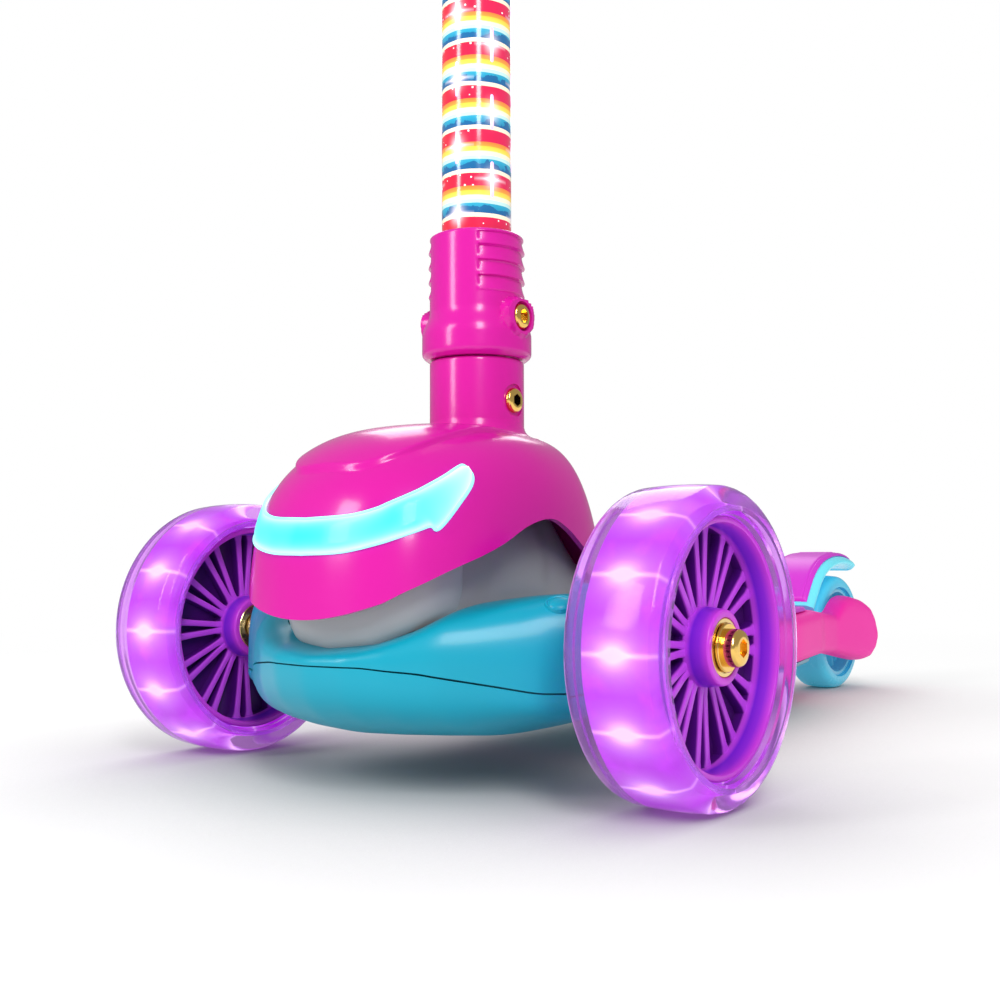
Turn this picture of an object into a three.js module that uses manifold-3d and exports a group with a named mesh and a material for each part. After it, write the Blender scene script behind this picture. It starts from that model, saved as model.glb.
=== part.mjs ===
// A three-wheeled kick scooter for a young child: lean-to-steer nose, folding stem with lights,
// light-up front wheels and a foot brake over the rear wheel.
// Millimetres. +X forwards, +Y to the rider's left, +Z up. The origin is on the ground, at the middle of
// the whole scooter's length and width.

import * as THREE from "three";
import { mergeVertices } from "three/addons/utils/BufferGeometryUtils.js";
import Module from "manifold-3d";

const wasm = await Module();
wasm.setup();

// ---- driving dimensions ----
const WHEELBASE = 440;
const FRONT_X = 203;
const REAR_X = FRONT_X - WHEELBASE;
const FRONT_RADIUS = 60;
const FRONT_HALF_WIDTH = 19.5;
const REAR_RADIUS = 40;
const REAR_HALF_WIDTH = 13;
const HALF_TRACK = 125;
const HUB_HALF = 15;
const REAR_HUB_HALF = 11;
const BEARING_RADIUS = 11;
const BEARING_WIDTH = 7;
const BEARING_BORE = 4.3;
const AXLE_RADIUS = 3.9;

const STEM_X = FRONT_X - 33;
const STEM_RADIUS = 16;
const STEM_BOTTOM = 186.3;
const STEM_TOP = 498;
const FOLD_Z = 163.5;
const SOCKET_RADIUS = 21.6;
const SOCKET_TOP = 182.7;
const SLEEVE_BOTTOM = 183;
const SLEEVE_SCREW_Z = 201;

const LEAN_Z = 85;
const LEAN_REACH = 25;
const TIE_ROD_X = FRONT_X - LEAN_REACH;
const TIE_ROD_Z = LEAN_Z - LEAN_REACH;
const KINGPIN_Y = 89;

const SEAM_Z = 49;
const NOSE_BOTTOM = 25;
const NOSE_REAR = FRONT_X - 70;
const DECK_TOP = 60;
const DECK_BOTTOM = 30;
const FORK_INNER = 16;
const FORK_OUTER = 28;
const HINGE_X = FRONT_X - 388;
const HINGE_Z = 47;

const BAR_Z = 650;
const BAR_RADIUS = 11;
const BAR_HALF = 138;
const INNER_TUBE_BOTTOM = 420;
const BUTTON_Z = 455;
const GAP = 0.3;

// ---- finishes ----
const finish = (color, roughness, metalness = 0) =>
  new THREE.MeshStandardMaterial({ color, roughness, metalness });
const PINK = finish(0xe62da0, 0.3);
const TEAL = finish(0x26b2cc, 0.35);
const CYAN = finish(0x78e8f8, 0.3);
const PURPLE = finish(0xa03ce0, 0.35);
const GREY = finish(0x96989c, 0.6);
const GOLD = finish(0xf0be3c, 0.3, 1);
const STEEL = finish(0xb8bcc2, 0.35, 1);
const RUBBER = finish(0x3a3a42, 0.8);
const CLEAR_LILAC = finish(0xe0a0f8, 0.2);
const GLOW = finish(0xfff0ff, 0.4);
const RAINBOW = finish(0xf06a8c, 0.3);

const scooter = new THREE.Group();

// ---- shape helpers ----
const X = new THREE.Vector3(1, 0, 0);
const Y = new THREE.Vector3(0, 1, 0);
const Z = new THREE.Vector3(0, 0, 1);
const AXES = {
  x: new THREE.Matrix4().makeBasis(Y, Z, X),
  y: new THREE.Matrix4().makeBasis(X, Z, Y.clone().negate()),
  z: new THREE.Matrix4(),
};

function add(name, geometry, material) {
  const mesh = new THREE.Mesh(geometry, material);
  mesh.name = name;
  scooter.add(mesh);
}

// A closed geometry as a solid: shared vertices merged, faces turned outwards.
function toSolid(geometry) {
  const bare = new THREE.BufferGeometry();
  bare.setAttribute("position", geometry.getAttribute("position").clone());
  if (geometry.index) bare.setIndex(geometry.index.clone());
  const merged = mergeVertices(bare, 1e-4);
  const vertProperties = new Float32Array(merged.getAttribute("position").array);
  const index = merged.index.array;
  const corner = (i) => new THREE.Vector3().fromArray(vertProperties, index[i] * 3);
  const triangles = [];
  let volume = 0;
  for (let i = 0; i < index.length; i += 3) {
    const distinct = new Set([index[i], index[i + 1], index[i + 2]]).size === 3;
    if (distinct) triangles.push(index[i], index[i + 1], index[i + 2]);
    volume += corner(i).dot(corner(i + 1).cross(corner(i + 2)));
  }
  if (volume < 0) triangles.reverse();
  const triVerts = new Uint32Array(triangles);
  return new wasm.Manifold(new wasm.Mesh({ numProp: 3, vertProperties, triVerts }));
}

function toGeometry(solid) {
  const mesh = solid.getMesh();
  const geometry = new THREE.BufferGeometry();
  geometry.setAttribute("position", new THREE.BufferAttribute(mesh.vertProperties, 3));
  geometry.setIndex(new THREE.BufferAttribute(mesh.triVerts, 1));
  return geometry;
}

const join = (first, ...rest) =>
  toGeometry(rest.reduce((solid, g) => solid.add(toSolid(g)), toSolid(first)));
const cut = (first, ...rest) =>
  toGeometry(rest.reduce((solid, g) => solid.subtract(toSolid(g)), toSolid(first)));
const common = (first, ...rest) =>
  toGeometry(rest.reduce((solid, g) => solid.intersect(toSolid(g)), toSolid(first)));

// A box between two corners.
function box(x0, x1, y0, y1, z0, z1) {
  const geometry = new THREE.BoxGeometry(x1 - x0, y1 - y0, z1 - z0);
  return geometry.translate((x0 + x1) / 2, (y0 + y1) / 2, (z0 + z1) / 2);
}

// An outline of [a, b] points pushed along an axis from one place to another. Along x the outline is
// (y, z), along y it is (x, z), along z it is (x, y).
function prism(axis, points, from, to, holes = []) {
  const shape = new THREE.Shape(points.map(([a, b]) => new THREE.Vector2(a, b)));
  shape.holes = holes.map((hole) => new THREE.Path(hole.map(([a, b]) => new THREE.Vector2(a, b))));
  const geometry = new THREE.ExtrudeGeometry(shape, { depth: to - from, bevelEnabled: false });
  geometry.applyMatrix4(AXES[axis]);
  const shift = axis === "y" ? to : from;
  const step = { x: X, y: Y, z: Z }[axis].clone().multiplyScalar(shift);
  return geometry.translate(step.x, step.y, step.z);
}

// A profile of [radius, along] points turned about a line parallel to an axis through (x, y, z). The
// profile starts and ends on the axis or closes on itself.
function turned(axis, profile, x, y, z, sides = 24) {
  const points = profile.map(([radius, along]) => new THREE.Vector2(radius, along));
  const geometry = new THREE.LatheGeometry(points, sides);
  if (axis === "x") geometry.rotateZ(-Math.PI / 2);
  if (axis === "z") geometry.rotateX(Math.PI / 2);
  return toGeometry(toSolid(geometry.translate(x, y, z)));
}

const rod = (axis, radius, from, to, at, sides = 12) =>
  turned(axis, [[0, from], [radius, from], [radius, to], [0, to]], ...at, sides);
const tube = (axis, outer, inner, from, to, at, sides = 16) =>
  turned(axis, [[inner, from], [outer, from], [outer, to], [inner, to], [inner, from]], ...at, sides);

// A smooth line through [a, b] points.
const smooth = (points, steps) =>
  new THREE.SplineCurve(points.map(([a, b]) => new THREE.Vector2(a, b)))
    .getPoints(steps)
    .map((p) => [p.x, p.y]);
// Half an outline (second value zero or more, front first) closed by its mirror image.
const mirrored = (half) => [
  ...half,
  ...half.filter(([, b]) => Math.abs(b) > 0.01).reverse().map(([a, b]) => [a, -b]),
];
const swapped = (points) => points.map(([a, b]) => [b, a]);
const shifted = (points, da, db = 0) => points.map(([a, b]) => [a + da, b + db]);
const scaled = (geometry, centre, factors) =>
  geometry.clone().translate(-centre[0], -centre[1], -centre[2]).scale(...factors).translate(...centre);
const circle = (a, b, radius, steps) =>
  Array.from({ length: steps }, (_, i) => {
    const turn = (i / steps) * 2 * Math.PI;
    return [a + radius * Math.cos(turn), b + radius * Math.sin(turn)];
  });
const SIDES = [["left", 1], ["right", -1]];

// ---- nose: the fixed teal body that holds both front wheels ----
const NOSE_FRONT = smooth([[76, 0], [73.5, 18], [67, 34], [57, 49], [41, 67], [26, 84], [18, 98]], 14);
const NOSE_PLAN = shifted(
  mirrored([...NOSE_FRONT, [-18, 98], [-34, 92], [-36, 70], [-50, 60], [-70, 58]]),
  FRONT_X,
);
// Top edge of the upper shell in the front view, [y, z].
const NOSE_CREST = [[0, 59], [22, 61.5], [36, 68], [47, 76], [60, 78], [98, 80]];
const SHIELD_HALF = smooth([[60, 0], [57, 18], [48, 32], [34, 41], [10, 43.5]], 8);
const SHIELD_PLAN = (grow) =>
  shifted(
    mirrored(
      [...SHIELD_HALF, [-60, 43.5], [-66, 38]].map(([a, b]) => [a + grow * Math.sign(a), b && b + grow]),
    ),
    FRONT_X,
  );

function noseLowerShell() {
  const belly = mirrored([[SEAM_Z - 0.5, 99], [37, 99], [33, 84], [NOSE_BOTTOM, 58]]);
  const chin = [
    [FRONT_X - 71, NOSE_BOTTOM],
    [FRONT_X + 56, NOSE_BOTTOM],
    [FRONT_X + 68, 29],
    [FRONT_X + 77, 38],
    [FRONT_X + 77, SEAM_Z],
    [FRONT_X - 71, SEAM_Z],
  ];
  const body = common(
    prism("z", NOSE_PLAN, NOSE_BOTTOM, SEAM_Z - 0.5),
    prism("x", swapped(belly), FRONT_X - 80, FRONT_X + 90),
    prism("y", chin, -100, 100),
  );
  const basin = box(NOSE_REAR + 6, FRONT_X + 52, -40, 40, NOSE_BOTTOM + 4, SEAM_Z + 1);
  const kingpinHoles = SIDES.map(([, s]) => rod("z", 4.4, 38, 60, [FRONT_X, s * KINGPIN_Y, 0]));
  const pedestals = [[-63, -57], [3, 12]].map(([a, b]) =>
    box(FRONT_X + a, FRONT_X + b, -13, 13, NOSE_BOTTOM + 3, LEAN_Z + 12),
  );
  const shaftHole = rod("x", 6.3, -80, 30, [FRONT_X, 0, LEAN_Z]);
  return cut(join(cut(body, basin, ...kingpinHoles), ...pedestals), shaftHole);
}

function noseUpperShell() {
  const crest = [...NOSE_CREST, [98, SEAM_Z + 1]];
  const front = [...crest, ...crest.slice(1).reverse().map(([y, z]) => [-y, z])];
  // Behind the arms the shell drops to the deck, clear of the leaning dome.
  const side = [[-80, SEAM_Z], [-80, 61], [-52, 62], [-39, 81], [90, 81], [90, SEAM_Z]];
  const body = common(
    prism("z", NOSE_PLAN, SEAM_Z + 1, 82),
    prism("x", front, FRONT_X - 80, FRONT_X + 90),
    prism("y", shifted(side, FRONT_X), -100, 100),
  );
  const cutters = [prism("z", SHIELD_PLAN(GAP), SEAM_Z, 90)];
  for (const [, s] of SIDES) {
    const across = (a, b) => [Math.min(s * a, s * b), Math.max(s * a, s * b)];
    cutters.push(box(FRONT_X - 14, FRONT_X + 14, ...across(78.5, 101), SEAM_Z, 70));
    cutters.push(box(FRONT_X - 33, FRONT_X + 14, ...across(78.5, 101), 54, 70));
    cutters.push(box(FRONT_X - 33, FRONT_X - 17, ...across(40, 101), 54, 70));
    cutters.push(rod("z", 4.4, 60, 90, [FRONT_X, s * KINGPIN_Y, 0]));
  }
  return cut(body, ...cutters);
}

// The grey shroud round the steering works, with its lip that shows under the front of the dome.
function dustShield() {
  const side = [[-70, SEAM_Z], [-70, 88], [-40, 112], [38, 112], [64, 100], [64, SEAM_Z]];
  const wall = common(
    cut(prism("z", SHIELD_PLAN(0), SEAM_Z + 1, 113), prism("z", SHIELD_PLAN(-2.5), SEAM_Z, 114)),
    prism("y", shifted(side, FRONT_X), -50, 50),
  );
  const lipFront = smooth([[69, 0], [66, 18], [58, 32], [45, 42]], 8);
  const lipPlan = shifted(mirrored([...lipFront, [30, 42]]), FRONT_X);
  const low = NOSE_CREST.slice(0, 4).map(([y, z]) => [y, z + 0.6]);
  const high = low.map(([y, z]) => [y, z + 11]).reverse();
  const band = [...low, ...high, ...high.slice(0, -1).reverse().map(([y, z]) => [-y, z])];
  const bandLoop = [...band, ...low.slice(1).reverse().map(([y, z]) => [-y, z])];
  const lip = common(
    cut(prism("z", lipPlan, 55, 92), prism("z", SHIELD_PLAN(-1), 50, 95)),
    prism("x", bandLoop, FRONT_X + 20, FRONT_X + 80),
  );
  const rodSlot = box(TIE_ROD_X - 8, TIE_ROD_X + 8, -60, 60, 54, 70);
  return cut(join(wall, lip), rodSlot);
}

function kingpin(s) {
  const at = [FRONT_X, s * KINGPIN_Y, 0];
  const cap = turned("z", [[0, 80.3], [9, 80.3], [8.5, 82], [4, 83], [0, 83.2]], ...at, 16);
  return join(rod("z", 4, 38.3, 80.6, at), cap);
}

// ---- deck, rear fork and what is fixed to them ----
const DECK_HALF = [[-70.3, 58], [-110, 62], [-200, 62], [-262, 58], [-330, 43], [-395, 28], [-485, 28]];
const DECK_PLAN = (inset, back) =>
  shifted(mirrored(DECK_HALF.filter(([a]) => a > back).map(([a, b]) => [a, b - inset])), FRONT_X);

function deckFrame() {
  const side = [
    [-70, DECK_BOTTOM],
    [-70, DECK_TOP],
    [-335, DECK_TOP],
    [-372, 57],
    [-398, 54],
    [-416, 60],
    [-428, 66],
    [-442, 66.5],
    [-462, 60],
    [-477, 50],
    [-485, 36],
    [-479, 22],
    [-466, 18],
    [-440, 22],
    [-393, 29],
    [-337, DECK_BOTTOM],
  ];
  const body = common(prism("z", DECK_PLAN(0, -500), 10, 80), prism("y", shifted(side, FRONT_X), -80, 80));
  const cavityHalf = [[-78, 52], [-200, 56], [-262, 52], [-330, 36]];
  const cavity = prism("z", shifted(mirrored(cavityHalf), FRONT_X), 20, DECK_TOP - 5);
  const wheelSlot = box(FRONT_X - 500, FRONT_X - 381, -FORK_INNER, FORK_INNER, 0, 100);
  const axleHole = rod("y", 4.3, -60, 60, [REAR_X, 0, REAR_RADIUS]);
  const hingeHole = rod("y", 2.9, -60, 60, [HINGE_X, 0, HINGE_Z], 12);
  return cut(body, cavity, wheelSlot, axleHole, hingeHole);
}

function deckBottomCover() {
  const half = [[-78.5, 51.6], [-200, 55.6], [-262, 51.6], [-329.5, 35.6]];
  return prism("z", shifted(mirrored(half), FRONT_X), DECK_BOTTOM, DECK_BOTTOM + 3);
}

function deckGripPad() {
  const half = [[-92, 48], [-110, 55], [-200, 55.5], [-262, 51], [-318, 38], [-326, 30]];
  return prism("z", shifted(mirrored(half), FRONT_X), DECK_TOP + GAP, DECK_TOP + 2.8);
}

// The rear axle is a headless pin with a hexagonal socket in each end, flush inside the fork arms.
function rearAxleBolt() {
  const at = [REAR_X, 0, REAR_RADIUS];
  const shank = rod("y", AXLE_RADIUS, -FORK_OUTER + 0.5, FORK_OUTER - 0.5, at);
  const sockets = SIDES.map(([, s]) => {
    const [from, to] = [s * (FORK_OUTER - 4), s * (FORK_OUTER + 1)].sort((a, b) => a - b);
    return rod("y", 2.2, from, to, at, 6);
  });
  return cut(shank, ...sockets);
}

// ---- steering column: the pink dome, its light and the socket, which lean together ----
const DOME_HALF = smooth(
  [
    [79, 0], [77, 20], [70, 38], [56, 52], [36, 60], [8, 63],
    [-20, 62], [-48, 56], [-70, 44], [-82, 26], [-86, 0],
  ],
  18,
);
const DOME_SIDE = [
  [79.5, 60],
  ...smooth([[80, 108], [77.5, 126], [69, 137.5], [50, 143], [28, 146.5], [0, 149.5], [-28, 151.5]], 10),
  ...smooth([[-40, 149.5], [-48, 142], [-58, 126], [-70, 111], [-83, 100]], 5),
  [-87, 60],
];
const DOME_FRONT_HALF = [
  [66, 60],
  ...smooth([[65, 95], [62, 115], [56, 132], [47, 144], [32, 150.5], [0, 152]], 8),
];
const DOME_CENTRE = [FRONT_X - 3.5, 0, 60];

function domeOuter() {
  const front = [...DOME_FRONT_HALF, ...DOME_FRONT_HALF.slice(0, -1).reverse().map(([y, z]) => [-y, z])];
  return common(
    prism("z", shifted(mirrored(DOME_HALF), FRONT_X), 60, 160),
    prism("y", shifted(DOME_SIDE, FRONT_X), -80, 80),
    prism("x", front, FRONT_X - 100, FRONT_X + 100),
  );
}

// The light's outline in the side view: a band round the front whose ends kick up along the flanks.
function lightBand(grow) {
  const low = [[90, 94], [70, 95], [58, 98], [44, 105], [37, 103]].map(([x, z]) => [x, z - grow]);
  const tip = [[14 - grow, 124], [11 - grow, 130], [15, 135 + grow]];
  const high = [[22, 134], [44, 120], [62, 111], [90, 107]].map(([x, z]) => [x, z + grow]);
  return prism("y", shifted([...low, ...tip, ...high], FRONT_X), -80, 80);
}

function domeParts() {
  const outer = domeOuter();
  const channelFloor = 135.5;
  const underChannel = box(FRONT_X - 100, FRONT_X - 46.5, -31.5, 31.5, channelFloor - 3, 170);
  const inner = cut(scaled(outer, DOME_CENTRE, [0.963, 0.952, 0.966]), underChannel);
  const archLine = smooth(
    [
      [-95, 70], [-78, 74], [-62, 80], [-36, 96], [-20, 105], [-5, 110],
      [11, 107], [28, 100], [49, 92], [64, 84], [80, 69.5],
    ],
    14,
  );
  const arch = prism("y", shifted([[-95, 50], ...archLine, [95, 66], [95, 50]], FRONT_X), -80, 80);
  const rimHalf = [[50, 84], [38, 78], [25, 73.5], [12, 71], [0, 70]];
  const rim = [[80, 50], [80, 102], ...rimHalf, ...rimHalf.slice(0, -1).reverse().map(([y, z]) => [-y, z])];
  const rimCut = prism("x", [...rim, [-80, 102], [-80, 50]], FRONT_X + 40, FRONT_X + 100);
  const channel = box(FRONT_X - 100, FRONT_X - 50, -28.5, 28.5, channelFloor, 170);
  const socketHole = rod("z", SOCKET_RADIUS + 0.5, 120, 170, [STEM_X, 0, 0], 24);
  const shell = cut(outer, inner, arch, rimCut, channel, socketHole);
  const deep = scaled(outer, DOME_CENTRE, [0.982, 0.977, 0.985]);
  const groove = cut(lightBand(GAP), deep);
  const lensBack = scaled(outer, DOME_CENTRE, [0.9855, 0.981, 0.988]);
  const lens = cut(common(outer, lightBand(0)), lensBack, box(0, FRONT_X + 5, -80, 80, 0, 200));
  return { cover: cut(shell, groove), lens };
}

function stemSocket() {
  const at = [STEM_X, 0, 0];
  const body = rod("z", SOCKET_RADIUS, 78, SOCKET_TOP, at, 24);
  const wing = box(STEM_X - 12, STEM_X + 12, -34, 34, 88, 98);
  const bore = rod("z", 18, 146, SOCKET_TOP + 5, at, 24);
  const slot = box(STEM_X - 40, STEM_X, -16.8, 16.8, 146, SOCKET_TOP + 5);
  const notch = box(STEM_X - 40, STEM_X - 16, -20, 20, 136.5, 147);
  const leanBore = rod("x", 6.4, -60, 60, [STEM_X, 0, LEAN_Z]);
  const boltBore = rod("y", 4.4, -60, 60, [STEM_X, 0, FOLD_Z]);
  return cut(join(body, wing), bore, slot, notch, leanBore, boltBore);
}

function leanLever() {
  const block = box(TIE_ROD_X - 6, TIE_ROD_X + 6, -7, 7, 69, 77.6);
  return join(block, rod("z", 4, 54, 70, [TIE_ROD_X, 0, 0], 16));
}

function foldPivotBolt() {
  const at = [STEM_X, 0, FOLD_Z];
  const shank = rod("y", 4, -22, 22, at);
  const heads = [[21.9, 24], [-24, -21.9]].map(([a, b]) => rod("y", 5.3, a, b, at));
  const hex = rod("y", 2.4, 22.4, 26, at, 6);
  return cut(join(shank, ...heads), hex);
}

// ---- steering linkage ----
function tieRod() {
  const low = TIE_ROD_Z - 2.5;
  const high = TIE_ROD_Z + 2.5;
  const bar = box(TIE_ROD_X - 4, TIE_ROD_X + 4, -KINGPIN_Y, KINGPIN_Y, low, high);
  const eyes = SIDES.map(([, s]) => rod("z", 7, low, high, [TIE_ROD_X, s * KINGPIN_Y, 0]));
  const centre = rod("z", 9.5, low, high, [TIE_ROD_X, 0, 0], 24);
  const holes = SIDES.map(([, s]) => rod("z", 4, low - 1, high + 1, [TIE_ROD_X, s * KINGPIN_Y, 0], 16));
  return cut(join(bar, centre, ...eyes), ...holes, rod("z", 5.2, low - 1, high + 1, [TIE_ROD_X, 0, 0], 16));
}

function knuckle(s) {
  const pin = [FRONT_X, s * KINGPIN_Y, 0];
  const barrel = rod("z", 9, 50.6, 69.4, pin);
  const arm = box(TIE_ROD_X, FRONT_X, s * KINGPIN_Y - 4.5, s * KINGPIN_Y + 4.5, 63.4, 68.6);
  const eye = rod("z", 5.5, 63.4, 68.6, [TIE_ROD_X, s * KINGPIN_Y, 0], 16);
  const peg = rod("z", 3, 56, 64, [TIE_ROD_X, s * KINGPIN_Y, 0], 16);
  const reach = [s * KINGPIN_Y, s * (HALF_TRACK - HUB_HALF - 0.5)].sort((a, b) => a - b);
  const stub = rod("y", 6.5, ...reach, [FRONT_X, 0, FRONT_RADIUS]);
  const threads = [s * (KINGPIN_Y + 8.7), s * HALF_TRACK].sort((a, b) => a - b);
  return cut(
    join(barrel, arm, eye, peg, stub),
    rod("z", 4.5, 40, 80, pin),
    rod("y", 4.2, ...threads, [FRONT_X, 0, FRONT_RADIUS]),
  );
}

// A front axle bolt, head outwards, with the spacer ring moulded to its head.
function axleBolt(s) {
  const face = HALF_TRACK + HUB_HALF;
  const profile = [
    [0, 99],
    [AXLE_RADIUS, 99],
    [AXLE_RADIUS, face + 0.5],
    [7, face + 0.5],
    [7, face + 2.6],
    [6.4, face + 3],
    [7, face + 3.4],
    [7, face + 6],
    [6, face + 7],
    [0, face + 7],
  ].map(([radius, along]) => [radius, s * along]);
  const at = [FRONT_X, 0, FRONT_RADIUS];
  const hexEnds = [s * (face + 3), s * (face + 9)].sort((a, b) => a - b);
  return cut(turned("y", profile, ...at, 16), rod("y", 3, ...hexEnds, at, 6));
}

// ---- front wheels ----
function frontCore(s) {
  const at = [FRONT_X, s * HALF_TRACK, FRONT_RADIUS];
  const rim = tube("y", 48.3, 45, -HUB_HALF, HUB_HALF, at, 28);
  const hubProfile = [[0, -HUB_HALF], [13.5, -HUB_HALF], [14.5, -7], [14.5, 7], [13.5, HUB_HALF], [0, HUB_HALF]];
  const hub = turned("y", hubProfile, ...at, 16);
  const holes = [];
  for (let i = 0; i < 12; i += 1) {
    const turn = (radius, degrees) => {
      const angle = THREE.MathUtils.degToRad(30 * i + degrees);
      return [radius * Math.cos(angle), radius * Math.sin(angle)];
    };
    holes.push([turn(21, 3), turn(21, -3), turn(41, -2.2), turn(41, 2.2)].reverse());
    holes.push([turn(19, 12), turn(42.5, 8), turn(42.5, 22), turn(19, 18)].reverse());
  }
  const web = prism("y", circle(0, 0, 46, 28), -6, 6, holes).translate(...at);
  const membrane = tube("y", 46, 10, -1, 1, at, 28);
  const seatSpans = [[-HUB_HALF - 1, -HUB_HALF + BEARING_WIDTH], [HUB_HALF - BEARING_WIDTH, HUB_HALF + 1]];
  const seats = seatSpans.map(([a, b]) => rod("y", BEARING_RADIUS + 0.5, a, b, at, 16));
  return cut(join(rim, hub, web, membrane), ...seats, rod("y", 7.8, -20, 20, at));
}

function frontTyre(s) {
  const half = [
    [52.2, 6],
    [48.9, 6.2],
    [48.9, 15.2],
    [51, 18.5],
    [54, FRONT_HALF_WIDTH],
    [57.8, 15],
    [FRONT_RADIUS, 5],
  ];
  const profile = [...half, ...half.map(([radius, along]) => [radius, -along]).reverse(), half[0]];
  return turned("y", profile, FRONT_X, s * HALF_TRACK, FRONT_RADIUS, 28);
}

function bearing(x, y, z) {
  const half = BEARING_WIDTH / 2 - 0.15;
  return tube("y", BEARING_RADIUS, BEARING_BORE, -half, half, [x, y, z]);
}

// ---- rear wheel ----
function rearCore() {
  const at = [REAR_X, 0, REAR_RADIUS];
  const rim = tube("y", 31.6, 27.5, -REAR_HUB_HALF, REAR_HUB_HALF, at, 24);
  const web = tube("y", 28, 12, -4, 4, at, 24);
  const hub = tube("y", 14, 5.2, -REAR_HUB_HALF, REAR_HUB_HALF, at);
  const holes = [];
  for (let i = 0; i < 6; i += 1) {
    const turn = (i / 6) * 2 * Math.PI;
    holes.push(rod("y", 4, -12, 12, [REAR_X + 21 * Math.cos(turn), 0, REAR_RADIUS + 21 * Math.sin(turn)], 8));
  }
  const seats = [[-12, -REAR_HUB_HALF + BEARING_WIDTH], [REAR_HUB_HALF - BEARING_WIDTH, 12]].map(([a, b]) =>
    rod("y", BEARING_RADIUS + 0.5, a, b, at, 16),
  );
  return cut(join(rim, web, hub), ...seats, ...holes);
}

function rearTyre() {
  const half = [[32.1, 10.6], [36, REAR_HALF_WIDTH], [39, 9.5], [REAR_RADIUS, 4]];
  const profile = [...half, ...half.map(([radius, along]) => [radius, -along]).reverse(), half[0]];
  return turned("y", profile, REAR_X, 0, REAR_RADIUS, 24);
}

// ---- foot brake ----
const FENDER_TOP = smooth(
  [[-384, 57], [-389, 71], [-400, 83], [-418, 90.5], [-438, 93], [-454, 91], [-467, 86]],
  14,
);

function brakeFender() {
  const under = smooth([[-467, 79], [-454, 83.5], [-438, 86.2], [-420, 83.5], [-405, 75], [-396, 62]], 10);
  const arch = prism("y", shifted([...FENDER_TOP, ...under], FRONT_X), -21, 21);
  const flank = shifted(
    [
      [-389, 71], [-400, 83], [-418, 90], [-438, 92.5], [-454, 90.5],
      [-466, 85.8], [-466, 79], [-458, 74], [-400, 72],
    ],
    FRONT_X,
  );
  const flanks = SIDES.map(([, s]) => {
    const [from, to] = [17.5 * s, 21 * s].sort((a, b) => a - b);
    return prism("y", flank, from, to);
  });
  const neck = prism("y", shifted([[-382, 47], [-384.5, 60], [-397, 64], [-393.5, 47]], FRONT_X), -15.4, 9);
  const barrel = rod("y", 5.6, -15.4, 9, [HINGE_X, 0, HINGE_Z]);
  return cut(join(arch, ...flanks, neck, barrel), rod("y", 3.1, -20, 20, [HINGE_X, 0, HINGE_Z], 12));
}

function brakePedalPad() {
  const low = FENDER_TOP.filter(([x]) => x < -404 && x > -464).map(([x, z]) => [x, z + 0.4]);
  const high = low.map(([x, z]) => [x, z + 3]).reverse();
  return prism("y", shifted([...low, ...high], FRONT_X), -17, 17);
}

// ---- folding stem ----
function stemTongue() {
  const at = [STEM_X, 0, 0];
  const knuckleEnd = rod("y", 12, -12, 12, [STEM_X, 0, FOLD_Z], 24);
  const cheek = box(STEM_X - 12, STEM_X + 12, -12, 12, FOLD_Z, 184);
  const flange = rod("z", STEM_RADIUS, 183.2, STEM_BOTTOM - GAP, at, 24);
  const plug = rod("z", 11, 185, 203, at, 24);
  return cut(join(knuckleEnd, cheek, flange, plug), rod("y", 4.4, -20, 20, [STEM_X, 0, FOLD_Z]));
}

function stemLightTube() {
  const at = [STEM_X, 0, 0];
  const skin = tube("z", STEM_RADIUS, 15, STEM_BOTTOM, STEM_TOP, at, 24);
  const stop = tube("z", 18.5, 15.5, 229.6, 232, at, 24);
  return cut(join(skin, stop), rod("x", 4.6, 5, 30, [STEM_X, 0, BUTTON_Z], 16));
}

function stemLedHarness() {
  const foot = tube("z", 14.6, 13.3, 236, 241, [STEM_X, 0, 0], 24);
  const strips = [];
  for (let i = 0; i < 6; i += 1) {
    const turn = THREE.MathUtils.degToRad(60 * i + 4);
    strips.push(box(13.35, 14.55, -3, 3, 238, 444).rotateZ(turn).translate(STEM_X, 0, 0));
  }
  return join(foot, ...strips);
}

function foldSleeve() {
  const outside = smooth([[25.1, SLEEVE_BOTTOM], [25, 192], [23.6, 201], [21.6, 210]], 6);
  const profile = [
    [22.3, SLEEVE_BOTTOM],
    ...outside,
    [21.6, 232],
    [20.6, 237],
    [17.6, 240],
    [16.6, 240],
    [16.6, 236],
    [19, 236],
    [19, 208],
    [16.6, 208],
    [16.6, 197],
    [22.3, 194],
    [22.3, SLEEVE_BOTTOM],
  ];
  const body = turned("z", profile, STEM_X, 0, 0, 20);
  const bosses = [];
  const seats = [];
  for (const [, s] of SIDES) {
    const at = [STEM_X, 0, SLEEVE_SCREW_Z];
    bosses.push(rod("y", 8, ...[19.5 * s, 25.8 * s].sort((a, b) => a - b), at));
    seats.push(rod("y", 2.9, ...[10 * s, 30 * s].sort((a, b) => a - b), at, 12));
  }
  return cut(join(body, ...bosses), ...seats);
}

function sleeveBolt(s) {
  const at = [STEM_X, 0, SLEEVE_SCREW_Z];
  const profile = [[0, 17.4], [2.6, 17.4], [2.6, 26.1], [5.7, 26.1], [5.7, 27.6], [4.6, 28.6], [0, 28.6]];
  const bolt = turned("y", profile.map(([radius, along]) => [radius, s * along]), ...at, 20);
  return cut(bolt, rod("y", 2.4, ...[27 * s, 30 * s].sort((a, b) => a - b), at, 6));
}

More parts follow.
